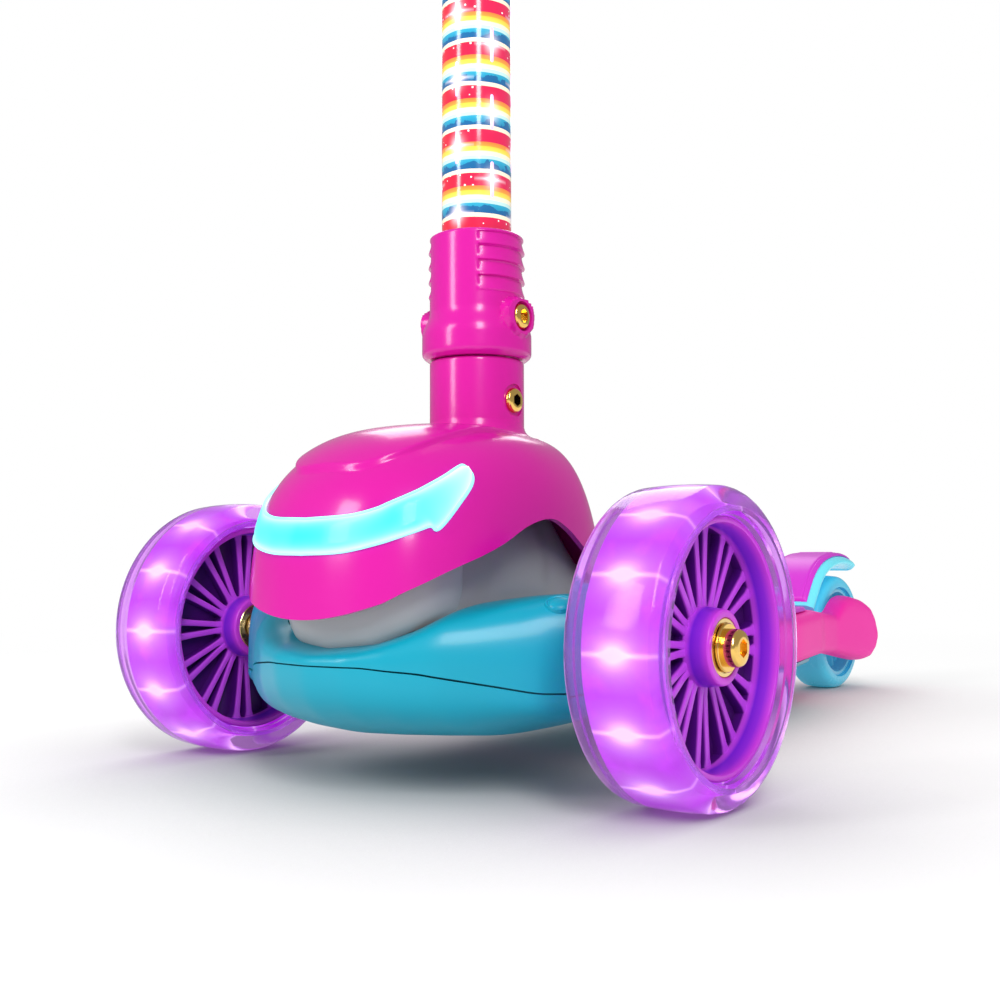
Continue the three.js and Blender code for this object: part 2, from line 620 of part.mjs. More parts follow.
function clampCollar() {
  const at = [STEM_X, 0, 0];
  const ring = tube("z", 20.5, STEM_RADIUS + GAP, 472, 500, at, 24);
  const lip = tube("z", 20.5, 11.5, 499, 503, at, 24);
  const ears = SIDES.map(([, s]) => {
    const [from, to] = [2.5 * s, 9 * s].sort((a, b) => a - b);
    return box(STEM_X - 34, STEM_X - 17, from, to, 475, 497);
  });
  const split = box(STEM_X - 40, STEM_X - 8, -2.5, 2.5, 460, 510);
  const bolt = rod("y", 3.2, -30, 30, [STEM_X - 27, 0, 486], 12);
  return cut(join(ring, lip, ...ears), split, bolt);
}

function clampBolt() {
  const at = [STEM_X - 27, 0, 486];
  return join(rod("y", 2.9, -11, 14, at, 12), rod("y", 5, -12, -9.3, at, 6));
}

function clampLever() {
  const pivot = [STEM_X - 27, 19.6, 0];
  const barrel = rod("z", 5, 478, 494, pivot, 20);
  const outline = [[-24, 22], [-12, 24.2], [4, 24.8], [18, 22.6], [19, 25.4], [4, 28.4], [-14, 28], [-29, 24]];
  return join(barrel, prism("z", shifted(outline, STEM_X), 478, 494));
}

function heightLockButton() {
  const profile = [[0, 8.4], [4, 8.4], [4, 18.5], [3, 20], [0, 20.4]];
  return turned("x", profile, STEM_X, 0, BUTTON_Z, 16);
}

// ---- handlebar ----
function innerTube() {
  const at = [STEM_X, 0, 0];
  const slot = box(STEM_X, STEM_X + 20, -5, 5, INNER_TUBE_BOTTOM + 9, INNER_TUBE_BOTTOM + 112);
  return cut(tube("z", BAR_RADIUS, 9.4, INNER_TUBE_BOTTOM, BAR_Z - 12.5, at, 24), slot);
}

function handlebarTee() {
  const at = [STEM_X, 0, 0];
  const upright = rod("z", 14.5, BAR_Z - 34, BAR_Z, at, 24);
  const barrel = rod("y", 15, -32, 32, [STEM_X, 0, BAR_Z], 24);
  return cut(
    join(upright, barrel),
    rod("z", BAR_RADIUS + GAP, BAR_Z - 40, BAR_Z - 12.2, at, 24),
    rod("y", BAR_RADIUS + GAP, -50, 50, [STEM_X, 0, BAR_Z], 24),
  );
}

// A ribbed rubber grip with a thumb flange and a closed, rounded end.
function grip(s) {
  const profile = [
    [BAR_RADIUS + GAP, 36],
    [18.5, 36],
    [18.5, 40],
    [15, 42],
    [15, 130],
    [17.5, 134],
    [17.5, 140],
    [15, 142],
    [0, 142],
    [0, BAR_HALF + 0.5],
    [BAR_RADIUS + GAP, BAR_HALF + 0.5],
    [BAR_RADIUS + GAP, 36],
  ].map(([radius, along]) => [radius, s * along]);
  return turned("y", profile, STEM_X, 0, BAR_Z, 18);
}

// ---- assembly ----
add("nose_lower_shell", noseLowerShell(), TEAL);
add("nose_upper_shell", noseUpperShell(), TEAL);
add("dust_shield", dustShield(), GREY);
add("lean_pivot_shaft", rod("x", 6, -62.5, 12.5, [FRONT_X, 0, LEAN_Z]), STEEL);
add("centering_spring", tube("x", 8.8, 6.4, -11, 2.6, [FRONT_X, 0, LEAN_Z], 20), STEEL);
for (const [side, s] of SIDES) {
  add(`lean_stop_${side}`, rod("z", 6.5, NOSE_BOTTOM + 4.3, 81.3, [STEM_X - 8, s * 29.5, 0], 16), RUBBER);
  add(`kingpin_${side}`, kingpin(s), TEAL);
}
add("deck_frame", deckFrame(), PINK);
add("deck_bottom_cover", deckBottomCover(), TEAL);
add("deck_grip_pad", deckGripPad(), TEAL);
add("rear_axle_bolt", rearAxleBolt(), GOLD);
add("brake_hinge_pin", rod("y", 2.6, -26.5, 26.5, [HINGE_X, 0, HINGE_Z], 12), STEEL);
add("brake_spring", tube("y", 5, 3, 9.5, 15.3, [HINGE_X, 0, HINGE_Z], 16), STEEL);

const dome = domeParts();
add("dome_cover", dome.cover, PINK);
add("dome_light_lens", dome.lens, CYAN);
add("stem_socket", stemSocket(), PINK);
add("lean_lever", leanLever(), STEEL);
add("fold_pivot_bolt", foldPivotBolt(), GOLD);
add("tie_rod", tieRod(), STEEL);

for (const [side, s] of SIDES) {
  const hub = HUB_HALF - BEARING_WIDTH / 2;
  const [near, far] = [s * (HALF_TRACK + hub), s * (HALF_TRACK - hub)];
  const at = [FRONT_X, s * HALF_TRACK, FRONT_RADIUS];
  add(`knuckle_${side}`, knuckle(s), STEEL);
  add(`axle_bolt_${side}`, axleBolt(s), GOLD);
  add(`light_magnet_${side}`, tube("y", 7.2, 4.4, -7.5, 7.5, at, 20), STEEL);
  add(`wheel_core_${side}`, frontCore(s), PURPLE);
  add(`wheel_tyre_${side}`, frontTyre(s), CLEAR_LILAC);
  add(`wheel_lights_${side}`, tube("y", 51.5, 49, -5.5, 5.5, at, 28), GLOW);
  add(`outer_bearing_${side}`, bearing(FRONT_X, near, FRONT_RADIUS), GOLD);
  add(`inner_bearing_${side}`, bearing(FRONT_X, far, FRONT_RADIUS), GOLD);
}

add("rear_core", rearCore(), CYAN);
add("rear_tyre", rearTyre(), CYAN);
for (const [side, s] of SIDES) {
  const middle = s * (REAR_HUB_HALF - BEARING_WIDTH / 2);
  add(`rear_bearing_${side}`, bearing(REAR_X, middle, REAR_RADIUS), GOLD);
}

add("brake_fender", brakeFender(), CYAN);
add("brake_pedal_pad", brakePedalPad(), PINK);

add("stem_tongue", stemTongue(), STEEL);
const STEM = [STEM_X, 0, 0];
const buttonHole = rod("x", 4.6, 5, 30, [STEM_X, 0, BUTTON_Z], 16);
add("stem_core_tube", cut(tube("z", 12.9, 11.5, STEM_BOTTOM, STEM_TOP, STEM), buttonHole), STEEL);
add("stem_light_tube", stemLightTube(), RAINBOW);
add("stem_led_harness", stemLedHarness(), GLOW);
add("fold_sleeve", foldSleeve(), PINK);
add("sleeve_spring", tube("z", 18.4, 16.6, 208.5, 229.2, STEM), STEEL);
for (const [side, s] of SIDES) add(`sleeve_bolt_${side}`, sleeveBolt(s), GOLD);
add("clamp_collar", clampCollar(), PINK);
add("clamp_bolt", clampBolt(), GOLD);
add("clamp_lever", clampLever(), GOLD);
add("height_lock_button", heightLockButton(), GOLD);

add("handlebar_inner_tube", innerTube(), STEEL);
add("handlebar_tee", handlebarTee(), PINK);
add("handlebar_crossbar", tube("y", BAR_RADIUS, 9.4, -BAR_HALF, BAR_HALF, [STEM_X, 0, BAR_Z]), STEEL);
for (const [side, s] of SIDES) add(`handlebar_grip_${side}`, grip(s), PURPLE);

export default scooter;
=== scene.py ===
"""A child's lean-to-steer kick scooter: three light-up wheels, a folding stem and a foot brake.

The sections follow the scooter as it is put together, from the ground it stands on to the grips.
Sizes inside the sections are millimetres; the skin() function turns them into metres.
"""
import math
import bmesh
import bpy
import numpy as np
from mathutils import Matrix, Vector


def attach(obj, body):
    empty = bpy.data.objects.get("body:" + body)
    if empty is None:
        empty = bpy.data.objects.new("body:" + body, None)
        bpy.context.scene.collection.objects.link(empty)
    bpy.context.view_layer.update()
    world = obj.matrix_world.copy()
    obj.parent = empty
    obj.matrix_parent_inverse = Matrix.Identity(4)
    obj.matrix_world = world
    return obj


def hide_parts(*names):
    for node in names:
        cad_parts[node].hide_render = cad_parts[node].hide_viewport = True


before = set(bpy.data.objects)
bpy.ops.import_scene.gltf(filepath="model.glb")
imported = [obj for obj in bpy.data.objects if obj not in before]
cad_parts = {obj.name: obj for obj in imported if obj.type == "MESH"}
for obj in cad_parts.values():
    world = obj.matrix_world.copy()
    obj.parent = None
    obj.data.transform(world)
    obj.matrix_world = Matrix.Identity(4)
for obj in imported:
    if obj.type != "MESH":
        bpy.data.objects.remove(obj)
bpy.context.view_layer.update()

# ---------------------------------------------------------------------------------------------------
# The stand: a plain pale floor that runs off into a white room, large soft lights for the long
# highlights on the moulded shells, and the camera low in front of the left wheel.


def srgb(red, green, blue):
    """A display colour, 0 to 255, as linear light: ((c + 0.055) / 1.055) ^ 2.4, or c / 12.92 near black."""
    c = np.array([red, green, blue]) / 255
    linear = np.where(c < 0.04045, c / 12.92, ((c + 0.055) / 1.055) ** 2.4)
    return (*[float(value) for value in linear], 1.0)


def new_material(name):
    """An empty material: its node tree and its Principled shader."""
    made = bpy.data.materials.new(name)
    made.use_nodes = True
    return made, made.node_tree, made.node_tree.nodes["Principled BSDF"]


def set_inputs(node, values):
    """Sets a node's inputs by their names."""
    for name, value in values.items():
        node.inputs[name].default_value = value


SIDES = (("left", 1), ("right", -1))
FLOOR_SIZE = 14.0
floor_mesh = bpy.data.meshes.new("floor")
half = FLOOR_SIZE / 2
floor_mesh.from_pydata([(-half, -half, 0), (half, -half, 0), (half, half, 0), (-half, half, 0)], [],
                       [(0, 1, 2, 3)])
floor = bpy.data.objects.new("floor", floor_mesh)
bpy.context.collection.objects.link(floor)
floor_paint, tree, shader = new_material("floor_paint")
set_inputs(shader,
           {"Base Color": (0.42, 0.42, 0.42, 1), "Roughness": 0.9, "Specular IOR Level": 0.05,
            "Emission Strength": 0.66})
# The floor glows evenly, with a painted contact shadow: its glow is darkened where the scooter stands close
# over it.
painted_contact_shadow = tree.nodes.new("ShaderNodeAmbientOcclusion")
painted_contact_shadow.inputs["Distance"].default_value = 0.16
deeper_painted_shadow = tree.nodes.new("ShaderNodeGamma")
deeper_painted_shadow.inputs["Gamma"].default_value = 1.5
tree.links.new(painted_contact_shadow.outputs["Color"], deeper_painted_shadow.inputs["Color"])
tree.links.new(deeper_painted_shadow.outputs[0], shader.inputs["Emission Color"])
floor_at = tree.nodes.new("ShaderNodeTexCoord").outputs["Object"]
from_middle = tree.nodes.new("ShaderNodeVectorMath")
from_middle.operation = "LENGTH"
tree.links.new(floor_at, from_middle.inputs[0])
fade = tree.nodes.new("ShaderNodeMapRange")
fade.interpolation_type = "SMOOTHSTEP"
set_inputs(fade, {"From Min": 0.42, "From Max": 1.05})
tree.links.new(from_middle.outputs["Value"], fade.inputs["Value"])
far_white = tree.nodes.new("ShaderNodeEmission")
far_white.inputs["Color"].default_value = (1, 1, 1, 1)
floor_mix = tree.nodes.new("ShaderNodeMixShader")
tree.links.new(fade.outputs["Result"], floor_mix.inputs[0])
tree.links.new(shader.outputs[0], floor_mix.inputs[1])
tree.links.new(far_white.outputs[0], floor_mix.inputs[2])
tree.links.new(floor_mix.outputs[0], tree.nodes["Material Output"].inputs["Surface"])
floor.data.materials.append(floor_paint)

world = bpy.data.worlds.new("white_room")
bpy.context.scene.world = world
world.use_nodes = True
room = world.node_tree
room_light = room.nodes["Background"]
set_inputs(room_light, {"Color": (1, 1, 1, 1), "Strength": 0.36})
room_seen = room.nodes.new("ShaderNodeBackground")
set_inputs(room_seen, {"Color": (1, 1, 1, 1), "Strength": 1.0})
room_mix = room.nodes.new("ShaderNodeMixShader")
room.links.new(room.nodes.new("ShaderNodeLightPath").outputs["Is Camera Ray"], room_mix.inputs[0])
room.links.new(room_light.outputs[0], room_mix.inputs[1])
room.links.new(room_seen.outputs[0], room_mix.inputs[2])
room.links.new(room_mix.outputs[0], room.nodes["World Output"].inputs["Surface"])


def soft_light(name, place, aim, size, power):
    """A square area light at place, turned to face aim."""
    lamp = bpy.data.lights.new(name, "AREA")
    lamp.shape = "RECTANGLE"
    lamp.size, lamp.size_y = size
    lamp.energy = power
    holder = bpy.data.objects.new(name, lamp)
    bpy.context.collection.objects.link(holder)
    holder.location = place
    holder.rotation_euler = (Vector(aim) - Vector(place)).to_track_quat("-Z", "Y").to_euler()


soft_light("key_light", (1.15, 1.0, 1.1), (0.15, 0, 0.12), (0.35, 0.9), 17)
soft_light("front_light", (1.5, -0.55, 0.8), (0.15, 0, 0.1), (0.30, 0.8), 10)
soft_light("back_light", (-1.1, -0.9, 1.3), (0, 0, 0.2), (0.9, 0.9), 8)

YAW, PITCH, ROLL = math.radians(216.72), math.radians(2.79), math.radians(-0.16)
camera_data = bpy.data.cameras.new("camera")
camera_data.sensor_width = 36
camera_data.lens = 43.74
camera_data.clip_start = 0.01
camera = bpy.data.objects.new("camera", camera_data)
bpy.context.collection.objects.link(camera)
look = Vector((math.cos(YAW) * math.cos(PITCH), math.sin(YAW) * math.cos(PITCH), math.sin(PITCH)))
side = Vector((math.sin(YAW), -math.cos(YAW), 0))
upward = side.cross(look)
turned_axes = Matrix((side, upward, -look)).transposed().to_4x4() @ Matrix.Rotation(ROLL, 4, "Z")
camera.matrix_world = Matrix.Translation((0.6082, 0.3399, 0.0924)) @ turned_axes
bpy.context.scene.camera = camera
bpy.context.scene.view_settings.view_transform = "Standard"

# ---------------------------------------------------------------------------------------------------
# The front cover: one glossy injection-moulded dome that leans with the stem. Its skirt arches over
# the wheels' arms, its crown carries a raised panel, and its back is hollowed for the folding sleeve.


def curve_at(points, t, closed=False):
    """Points on a Catmull-Rom curve through the given points, t running 0 to 1 over the whole curve:
    0.5 (2b + (c - a) f + (2a - 5b + 4c - d) f^2 + (3b - a - 3c + d) f^3) between b and c."""
    p = np.asarray(points, float)
    if closed:
        q = np.concatenate([p[-1:], p, p[:2]])
    else:
        q = np.concatenate([2 * p[:1] - p[1:2], p, 2 * p[-1:] - p[-2:-1]])
    spans = len(q) - 3
    at = np.asarray(t, float) * spans
    if closed:
        at = at % spans
    i = np.clip(at.astype(int), 0, spans - 1)
    f = (at - i)[..., None]
    a, b, c, d = q[i], q[i + 1], q[i + 2], q[i + 3]
    return 0.5 * (2 * b + (c - a) * f + (2 * a - 5 * b + 4 * c - d) * f ** 2
                  + (3 * b - a - 3 * c + d) * f ** 3)


def step(x, a, b):
    """0 before a, 1 after b, and 3t^2 - 2t^3 between them."""
    t = np.clip((x - a) / (b - a), 0, 1)
    return t * t * (3 - 2 * t)


def unit(vectors):
    """Each vector divided by its length."""
    return vectors / np.maximum(np.linalg.norm(vectors, axis=-1, keepdims=True), 1e-9)


def both_sides(half):
    """A closed plan about the front axle from its left half, given as distances ahead and across."""
    return [(FRONT_X + x, y) for x, y in half + [(x, -y) for x, y in half[-2:0:-1]]]


def skin(name, grids, around=True, along=False, caps=True, crease=35, wall=0.0):
    """A mesh from grids of points in mm. In grid[i, j], i runs round the piece and j along it, and
    every four neighbours are a face. around and along join the grid to itself, caps closes its two
    ends, wall gives an open skin a thickness inwards, and edges sharper than crease degrees stay sharp."""
    grids = [grids] if isinstance(grids, np.ndarray) else grids
    work = bmesh.new()
    points, faces, count = [], [], 0
    for grid in grids:
        n, m = grid.shape[:2]
        i, j = np.meshgrid(np.arange(n if around else n - 1), np.arange(m if along else m - 1),
                           indexing="ij")
        k, l = (i + 1) % n, (j + 1) % m
        quads = np.stack([i * m + j, k * m + j, k * m + l, i * m + l], -1).reshape(-1, 4)
        faces += (quads + count).tolist()
        if caps and around and not along:
            faces += [(np.arange(n) * m + count).tolist(), (np.arange(n) * m + m - 1 + count).tolist()]
        points.append(grid.reshape(-1, 3) * 0.001)
        count += n * m
    data = bpy.data.meshes.new(name)
    data.from_pydata(np.concatenate(points).tolist(), [], faces)
    work.from_mesh(data)
    bmesh.ops.remove_doubles(work, verts=work.verts, dist=2e-6)
    bmesh.ops.dissolve_degenerate(work, edges=work.edges, dist=1e-6)
    bmesh.ops.recalc_face_normals(work, faces=work.faces)
    work.to_mesh(data)
    work.free()
    piece = bpy.data.objects.new(name, data)
    bpy.context.collection.objects.link(piece)
    if wall:
        thick = piece.modifiers.new("wall", "SOLIDIFY")
        thick.thickness = wall * 0.001
        thick.offset = -1
        apply_modifiers(piece)
    piece.data.shade_smooth()
    piece.data.set_sharp_from_angle(angle=math.radians(crease))
    return piece


def apply_modifiers(piece):
    """Bakes the piece's modifiers into its mesh."""
    graph = bpy.context.evaluated_depsgraph_get()
    fresh = bpy.data.meshes.new_from_object(piece.evaluated_get(graph))
    old = piece.data
    piece.modifiers.clear()
    piece.data = fresh
    fresh.name = old.name
    bpy.data.meshes.remove(old)


def carve(piece, cutters, crease=35):
    """Takes the cutters' space out of the piece, and removes them."""
    for cutter in cutters:
        hole = piece.modifiers.new("hole", "BOOLEAN")
        hole.operation = "DIFFERENCE"
        hole.solver = "MANIFOLD"
        hole.object = cutter
    apply_modifiers(piece)
    for cutter in cutters:
        bpy.data.objects.remove(cutter)
    piece.data.shade_smooth()
    piece.data.set_sharp_from_angle(angle=math.radians(crease))


FRONT_X = 203.0
DOME_MIDDLE = (FRONT_X - 3.5, 0.0)
DOME_FOOT, DOME_SPAN, DOME_DRAW_IN = 60, 90, 0.075
HOLLOW_Z = 134.0
DOME_HALF = [(79.5, 0), (78, 18), (72.5, 35), (60, 49), (38, 59.5), (8, 63.5), (-20, 63), (-48, 57),
             (-70, 45),
             (-83, 26), (-87, 0)]
DOME_PLAN = both_sides(DOME_HALF)
ARCH = [(-100, 74), (-87, 75.5), (-78, 78.5), (-62, 84.5), (-48, 90), (-31, 98.5), (-17, 106), (-5, 109.5),
        (11, 107),
        (28, 100), (49, 92), (62, 85), (69, 80), (74, 74), (80, 60), (90, 40)]


def dome_crown(x, y):
    """The height of the crown's envelope: flat along the top, falling to the front and to the sides."""
    x = x - FRONT_X
    fall = 4 + 12 * step(x, -10, 75)
    z = 148.7 - 0.0026 * np.maximum(x, 0) ** 2 - fall * (np.abs(y) / 60) ** 2.2
    return z - 0.040 * np.maximum(-38 - x, 0) ** 2


def dome_rim(x, y):
    """The height of the skirt's edge: the side arch, and the front lip that rises towards its ends."""
    arch = curve_at(ARCH, np.linspace(0, 1, 200))
    side_edge = np.interp(x - FRONT_X, arch[:, 0], arch[:, 1])
    return np.where(x > 243, np.maximum(70 + 14 * (y / 50) ** 2, side_edge), side_edge)


def on_dome(u, z):
    """The point of the dome's outside at plan position u and height z: with h = (z - 60) / (crown - 60),
    the plan outline shrinks about its middle by (1 - h^5)^(1/5), and by up to 7.5% more with height."""
    edge = curve_at(DOME_PLAN, u, closed=True)
    x, y = edge[..., 0], edge[..., 1]
    for _ in range(12):
        h = np.clip((z - DOME_FOOT) / (dome_crown(x, y) - DOME_FOOT), 0, 1)
        shrink = (1 - h ** 5) ** 0.2 * (1 - DOME_DRAW_IN * np.clip((z - DOME_FOOT) / DOME_SPAN, 0, 1))
        x = DOME_MIDDLE[0] + shrink * (edge[..., 0] - DOME_MIDDLE[0])
        y = shrink * edge[..., 1]
    return np.stack([x, y, z * np.ones_like(x)], -1)


def dome_surface(u, v):
    """The dome from its rim, v = 0, to its middle, v = 1, in equal turns of the section's superellipse,
    then the raised panel of the crown and the hollow behind it."""
    edge = curve_at(DOME_PLAN, u, closed=True)
    ex, ey = edge[..., 0], edge[..., 1]
    crown = dome_crown(ex * 0.86 + DOME_MIDDLE[0] * 0.14, ey * 0.86)
    start = np.arcsin(np.clip((dome_rim(ex, ey) - DOME_FOOT) / (crown - DOME_FOOT), 0, 0.97) ** 2.5)
    turn = start + (np.pi / 2 - start) * v
    s, h = np.maximum(np.cos(turn), 0) ** 0.4, np.sin(turn) ** 0.4
    x, y = DOME_MIDDLE[0] + s * (ex - DOME_MIDDLE[0]), s * ey
    z = DOME_FOOT + h * (dome_crown(x, y) - DOME_FOOT)
    lean_in = 1 - DOME_DRAW_IN * np.clip((z - DOME_FOOT) / DOME_SPAN, 0, 1)
    x, y = DOME_MIDDLE[0] + (x - DOME_MIDDLE[0]) * lean_in, y * lean_in
    bx = x - FRONT_X
    panel = (np.abs((bx + 12) / 77) ** 3.4 + np.abs(y / 35.5) ** 3.4) ** (1 / 3.4)
    raised = 1.9 * (1 - step(panel, 0.96, 0.998)) * step(bx, -30, 10)
    away = unit(np.stack([x - 195, y, z - 90], -1))
    x, y, z = x + raised * away[..., 0], y + raised * away[..., 1], z + raised * away[..., 2]
    hollow = (1 - step(bx, -60, -40)) * (1 - step(np.abs(y), 24, 42))
    z = z - hollow * np.maximum(z - HOLLOW_Z, 0)
    return np.stack([x, y, z], -1)


u, v = np.meshgrid(np.arange(320) / 320, np.linspace(0, 1, 130) ** 0.9, indexing="ij")
dome_shell = skin("dome_shell", dome_surface(u, v), caps=False, crease=50, wall=2.4)


def group(name, inputs, outputs):
    """An empty shader node group with the named inputs (name, kind, value) and outputs (name, kind)."""
    made = bpy.data.node_groups.new(name, "ShaderNodeTree")
    for title, kind, value in inputs:
        made.interface.new_socket(name=title, in_out="INPUT", socket_type=kind).default_value = value
    for title, kind in outputs:
        made.interface.new_socket(name=title, in_out="OUTPUT", socket_type=kind)
    return made, made.nodes.new("NodeGroupInput"), made.nodes.new("NodeGroupOutput")


def feed(tree, socket, value):
    """Puts a number, a colour or another node's output into a socket."""
    if isinstance(value, bpy.types.NodeSocket):
        tree.links.new(value, socket)
    else:
        socket.default_value = value


def calc(tree, operation, *values):
    """A Math node on the given numbers or outputs; its output."""
    node = tree.nodes.new("ShaderNodeMath")
    node.operation = operation
    for place, value in enumerate(values):
        feed(tree, node.inputs[place], value)
    return node.outputs[0]


def blend_colours(tree, share, first, second, way="MIX"):
    """First where share is 0, second where it is 1."""
    node = tree.nodes.new("ShaderNodeMix")
    node.data_type = "RGBA"
    node.blend_type = way
    node.clamp_factor = True
    feed(tree, node.inputs[0], share)
    feed(tree, node.inputs[6], first)
    feed(tree, node.inputs[7], second)
    return node.outputs[2]


def ramp(tree, value, stops):
    """A colour ramp of (place, colour) stops; its colour output."""
    node = tree.nodes.new("ShaderNodeValToRGB")
    feed(tree, node.inputs[0], value)
    while len(node.color_ramp.elements) < len(stops):
        node.color_ramp.elements.new(1.0)
    for element, (place, colour) in zip(node.color_ramp.elements, stops):
        element.position = place
        element.color = colour
    return node.outputs[0]


def noise(tree, vector, scale, detail=3.0, roughness=0.5):
    """A Noise Texture's value output on the given coordinates."""
    node = tree.nodes.new("ShaderNodeTexNoise")
    feed(tree, node.inputs["Vector"], vector)
    feed(tree, node.inputs["Scale"], scale)
    set_inputs(node, {"Detail": detail, "Roughness": roughness})
    return node.outputs[0]


def placed(tree):
    """Object coordinates, in metres."""
    return tree.nodes.new("ShaderNodeTexCoord").outputs["Object"]


def position(tree):
    """Object coordinates in metres: the vector, and its three parts."""
    spot = placed(tree)
    parts = tree.nodes.new("ShaderNodeSeparateXYZ")
    tree.links.new(spot, parts.inputs[0])
    return spot, parts.outputs


def relief(tree, shader, height, strength, distance):
    """Gives the shader a bump from a height output, distance metres deep."""
    node = tree.nodes.new("ShaderNodeBump")
    set_inputs(node, {"Strength": strength, "Distance": distance})
    tree.links.new(height, node.inputs["Height"])
    tree.links.new(node.outputs[0], shader.inputs["Normal"])


def lights_up(tree, shader, colour, strength):
    """Gives the surface, and the light that it sends out itself, one colour output."""
    tree.links.new(colour, shader.inputs["Base Color"])
    tree.links.new(colour, shader.inputs["Emission Color"])
    shader.inputs["Emission Strength"].default_value = strength


# Moulded plastic: a slow drift of colour, a fine orange-peel skin and faint handling scuffs.
moulding, took, gives = group(
    "moulded_skin",
    [("Colour", "NodeSocketColor", (1, 1, 1, 1)), ("Drift", "NodeSocketFloat", 0.06),
     ("Gloss", "NodeSocketFloat", 0.25), ("Scuff", "NodeSocketFloat", 0.08),
     ("Fineness", "NodeSocketFloat", 900.0)],
    [("Colour", "NodeSocketColor"), ("Roughness", "NodeSocketFloat"), ("Height", "NodeSocketFloat")])
spot = placed(moulding)
slow = noise(moulding, spot, 14.0, 2)
cloudy = calc(moulding, "MULTIPLY", calc(moulding, "SUBTRACT", slow, 0.5),
              calc(moulding, "MULTIPLY", took.outputs[1], 2.0))
lit = calc(moulding, "ADD", cloudy, 1.0)
grey = moulding.nodes.new("ShaderNodeCombineColor")
for channel in range(3):
    moulding.links.new(lit, grey.inputs[channel])
moulding.links.new(blend_colours(moulding, 1.0, took.outputs[0], grey.outputs[0], "MULTIPLY"),
                   gives.inputs[0])
scratch = noise(moulding, spot, 120.0, 6, 0.75)
rub = calc(moulding, "MULTIPLY", calc(moulding, "MAXIMUM", calc(moulding, "SUBTRACT", scratch, 0.52), 0.0),
           calc(moulding, "MULTIPLY", took.outputs[3], 5.0))
moulding.links.new(calc(moulding, "ADD", took.outputs[2], rub), gives.inputs[1])
peel = noise(moulding, spot, took.outputs[4], 2)
moulding.links.new(calc(moulding, "ADD", calc(moulding, "MULTIPLY", peel, 0.4),
                        calc(moulding, "MULTIPLY", slow, 0.3)), gives.inputs[2])


def plastic(name, colour, gloss=0.25, drift=0.05, scuff=0.03, fineness=900.0, bump=0.012, coat=0.0,
            glow=0.0):
    """A moulded plastic finish: the moulded_skin group drives colour, roughness and bump, and glow makes
    the plastic send out its own colour as light, a painted glow where the part is no lamp.
    """
    made, tree, shader = new_material(name)
    node = tree.nodes.new("ShaderNodeGroup")
    node.node_tree = moulding
    for place, value in enumerate((colour, drift, gloss, scuff, fineness)):
        node.inputs[place].default_value = value
    tree.links.new(node.outputs[0], shader.inputs["Base Color"])
    tree.links.new(node.outputs[1], shader.inputs["Roughness"])
    relief(tree, shader, node.outputs[2], bump, 0.0004)
    set_inputs(shader, {"Specular IOR Level": 0.32, "Coat Weight": coat, "Coat Roughness": 0.06})
    if glow:
        tree.links.new(node.outputs[0], shader.inputs["Emission Color"])
        shader.inputs["Emission Strength"].default_value = glow
    return made


pink = plastic("pink_moulding", srgb(214, 22, 158), gloss=0.22, drift=0.03, coat=0.15)


def dress(piece, body, finish, slot, *nodes):
    """One material on the piece, the body it rides on and the CAD nodes it stands for; the slot argument is
    not used.
    """
    piece.data.materials.clear()
    piece.data.materials.append(finish)
    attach(piece, body)
    if nodes:
        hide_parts(*nodes)


dress(dome_shell, "steering_column", pink, "pink_shell", "dome_cover")

# The light band: a clear cyan strip that snaps into the dome, from one hooked end round the front
# to the other. It glows, whitest along its edges and in the hooks, and has a rounded rim.
BAND_LOW = [(0.0, 94.3), (0.054, 95.0), (0.10, 98.3), (0.138, 102.8), (0.152, 104.6), (0.158, 103.2),
            (0.166, 106.0), (0.180, 113.6),
            (0.1915, 120.3), (0.1945, 124.6), (0.190, 127.9)]
BAND_HIGH = [(0.0, 108.3), (0.058, 109.2), (0.090, 111.4), (0.108, 113.9), (0.135, 118.0), (0.150, 120.9),
             (0.165, 124.2), (0.178, 127.6), (0.185, 128.9), (0.190, 127.9)]
LIGHT_MIDDLE = np.array([190, 0, 95])
PLAN_LENGTH = 300.0
t = np.linspace(0, 1, 90)
low, high = curve_at(BAND_LOW, t), curve_at(BAND_HIGH, t)
low = np.concatenate([low[::-1] * [-1, 1], low[1:]])
high = np.concatenate([high[::-1] * [-1, 1], high[1:]])
across = np.linspace(0, 1, 15)
place = low[:, None] + (high - low)[:, None] * across[None, :, None]
inside = on_dome(place[..., 0], place[..., 1])
du = np.gradient(inside, axis=0)
dv = np.gradient(inside, axis=1)
out = unit(np.cross(du, dv))
out[[0, -1]] = out[[2, -3]]
out = out * np.sign((out * (inside - LIGHT_MIDDLE)).sum(-1, keepdims=True))
rise = 0.25 + 0.85 * np.minimum(1, 6 * across * (1 - across))[None, :, None]
lens = inside + out * rise
lens_at = lens.reshape(-1, 3)
dome_light = skin("dome_light", lens, around=False, crease=60, wall=1.2)
from_edge = np.minimum(across, 1 - across)[None, :] * np.linalg.norm(inside[:, -1] - inside[:, 0],
        axis=1)[:, None]
from_edge = from_edge.ravel()
corners = np.array([vertex.co for vertex in dome_light.data.vertices]) * 1000
nearest_place = [int(np.argmin(((lens_at - corner) ** 2).sum(1))) for corner in corners]
edge_layer = dome_light.data.attributes.new("edge_distance", "FLOAT", "POINT")
edge_layer.data.foreach_set("value", from_edge[nearest_place].astype(np.float32))
strip, tree, shader = new_material("cyan_light_band")
spot, axes = position(tree)
hook = calc(tree, "MULTIPLY_ADD", axes[0], -32.0, 8.45)
streaks = noise(tree, spot, 30.0, 2)
whiter = calc(tree, "ADD",
              calc(tree, "MULTIPLY", calc(tree, "MINIMUM", calc(tree, "MAXIMUM", hook, 0.0), 1.0), 0.55),
              calc(tree, "MULTIPLY", calc(tree, "SUBTRACT", streaks, 0.45), 0.35))
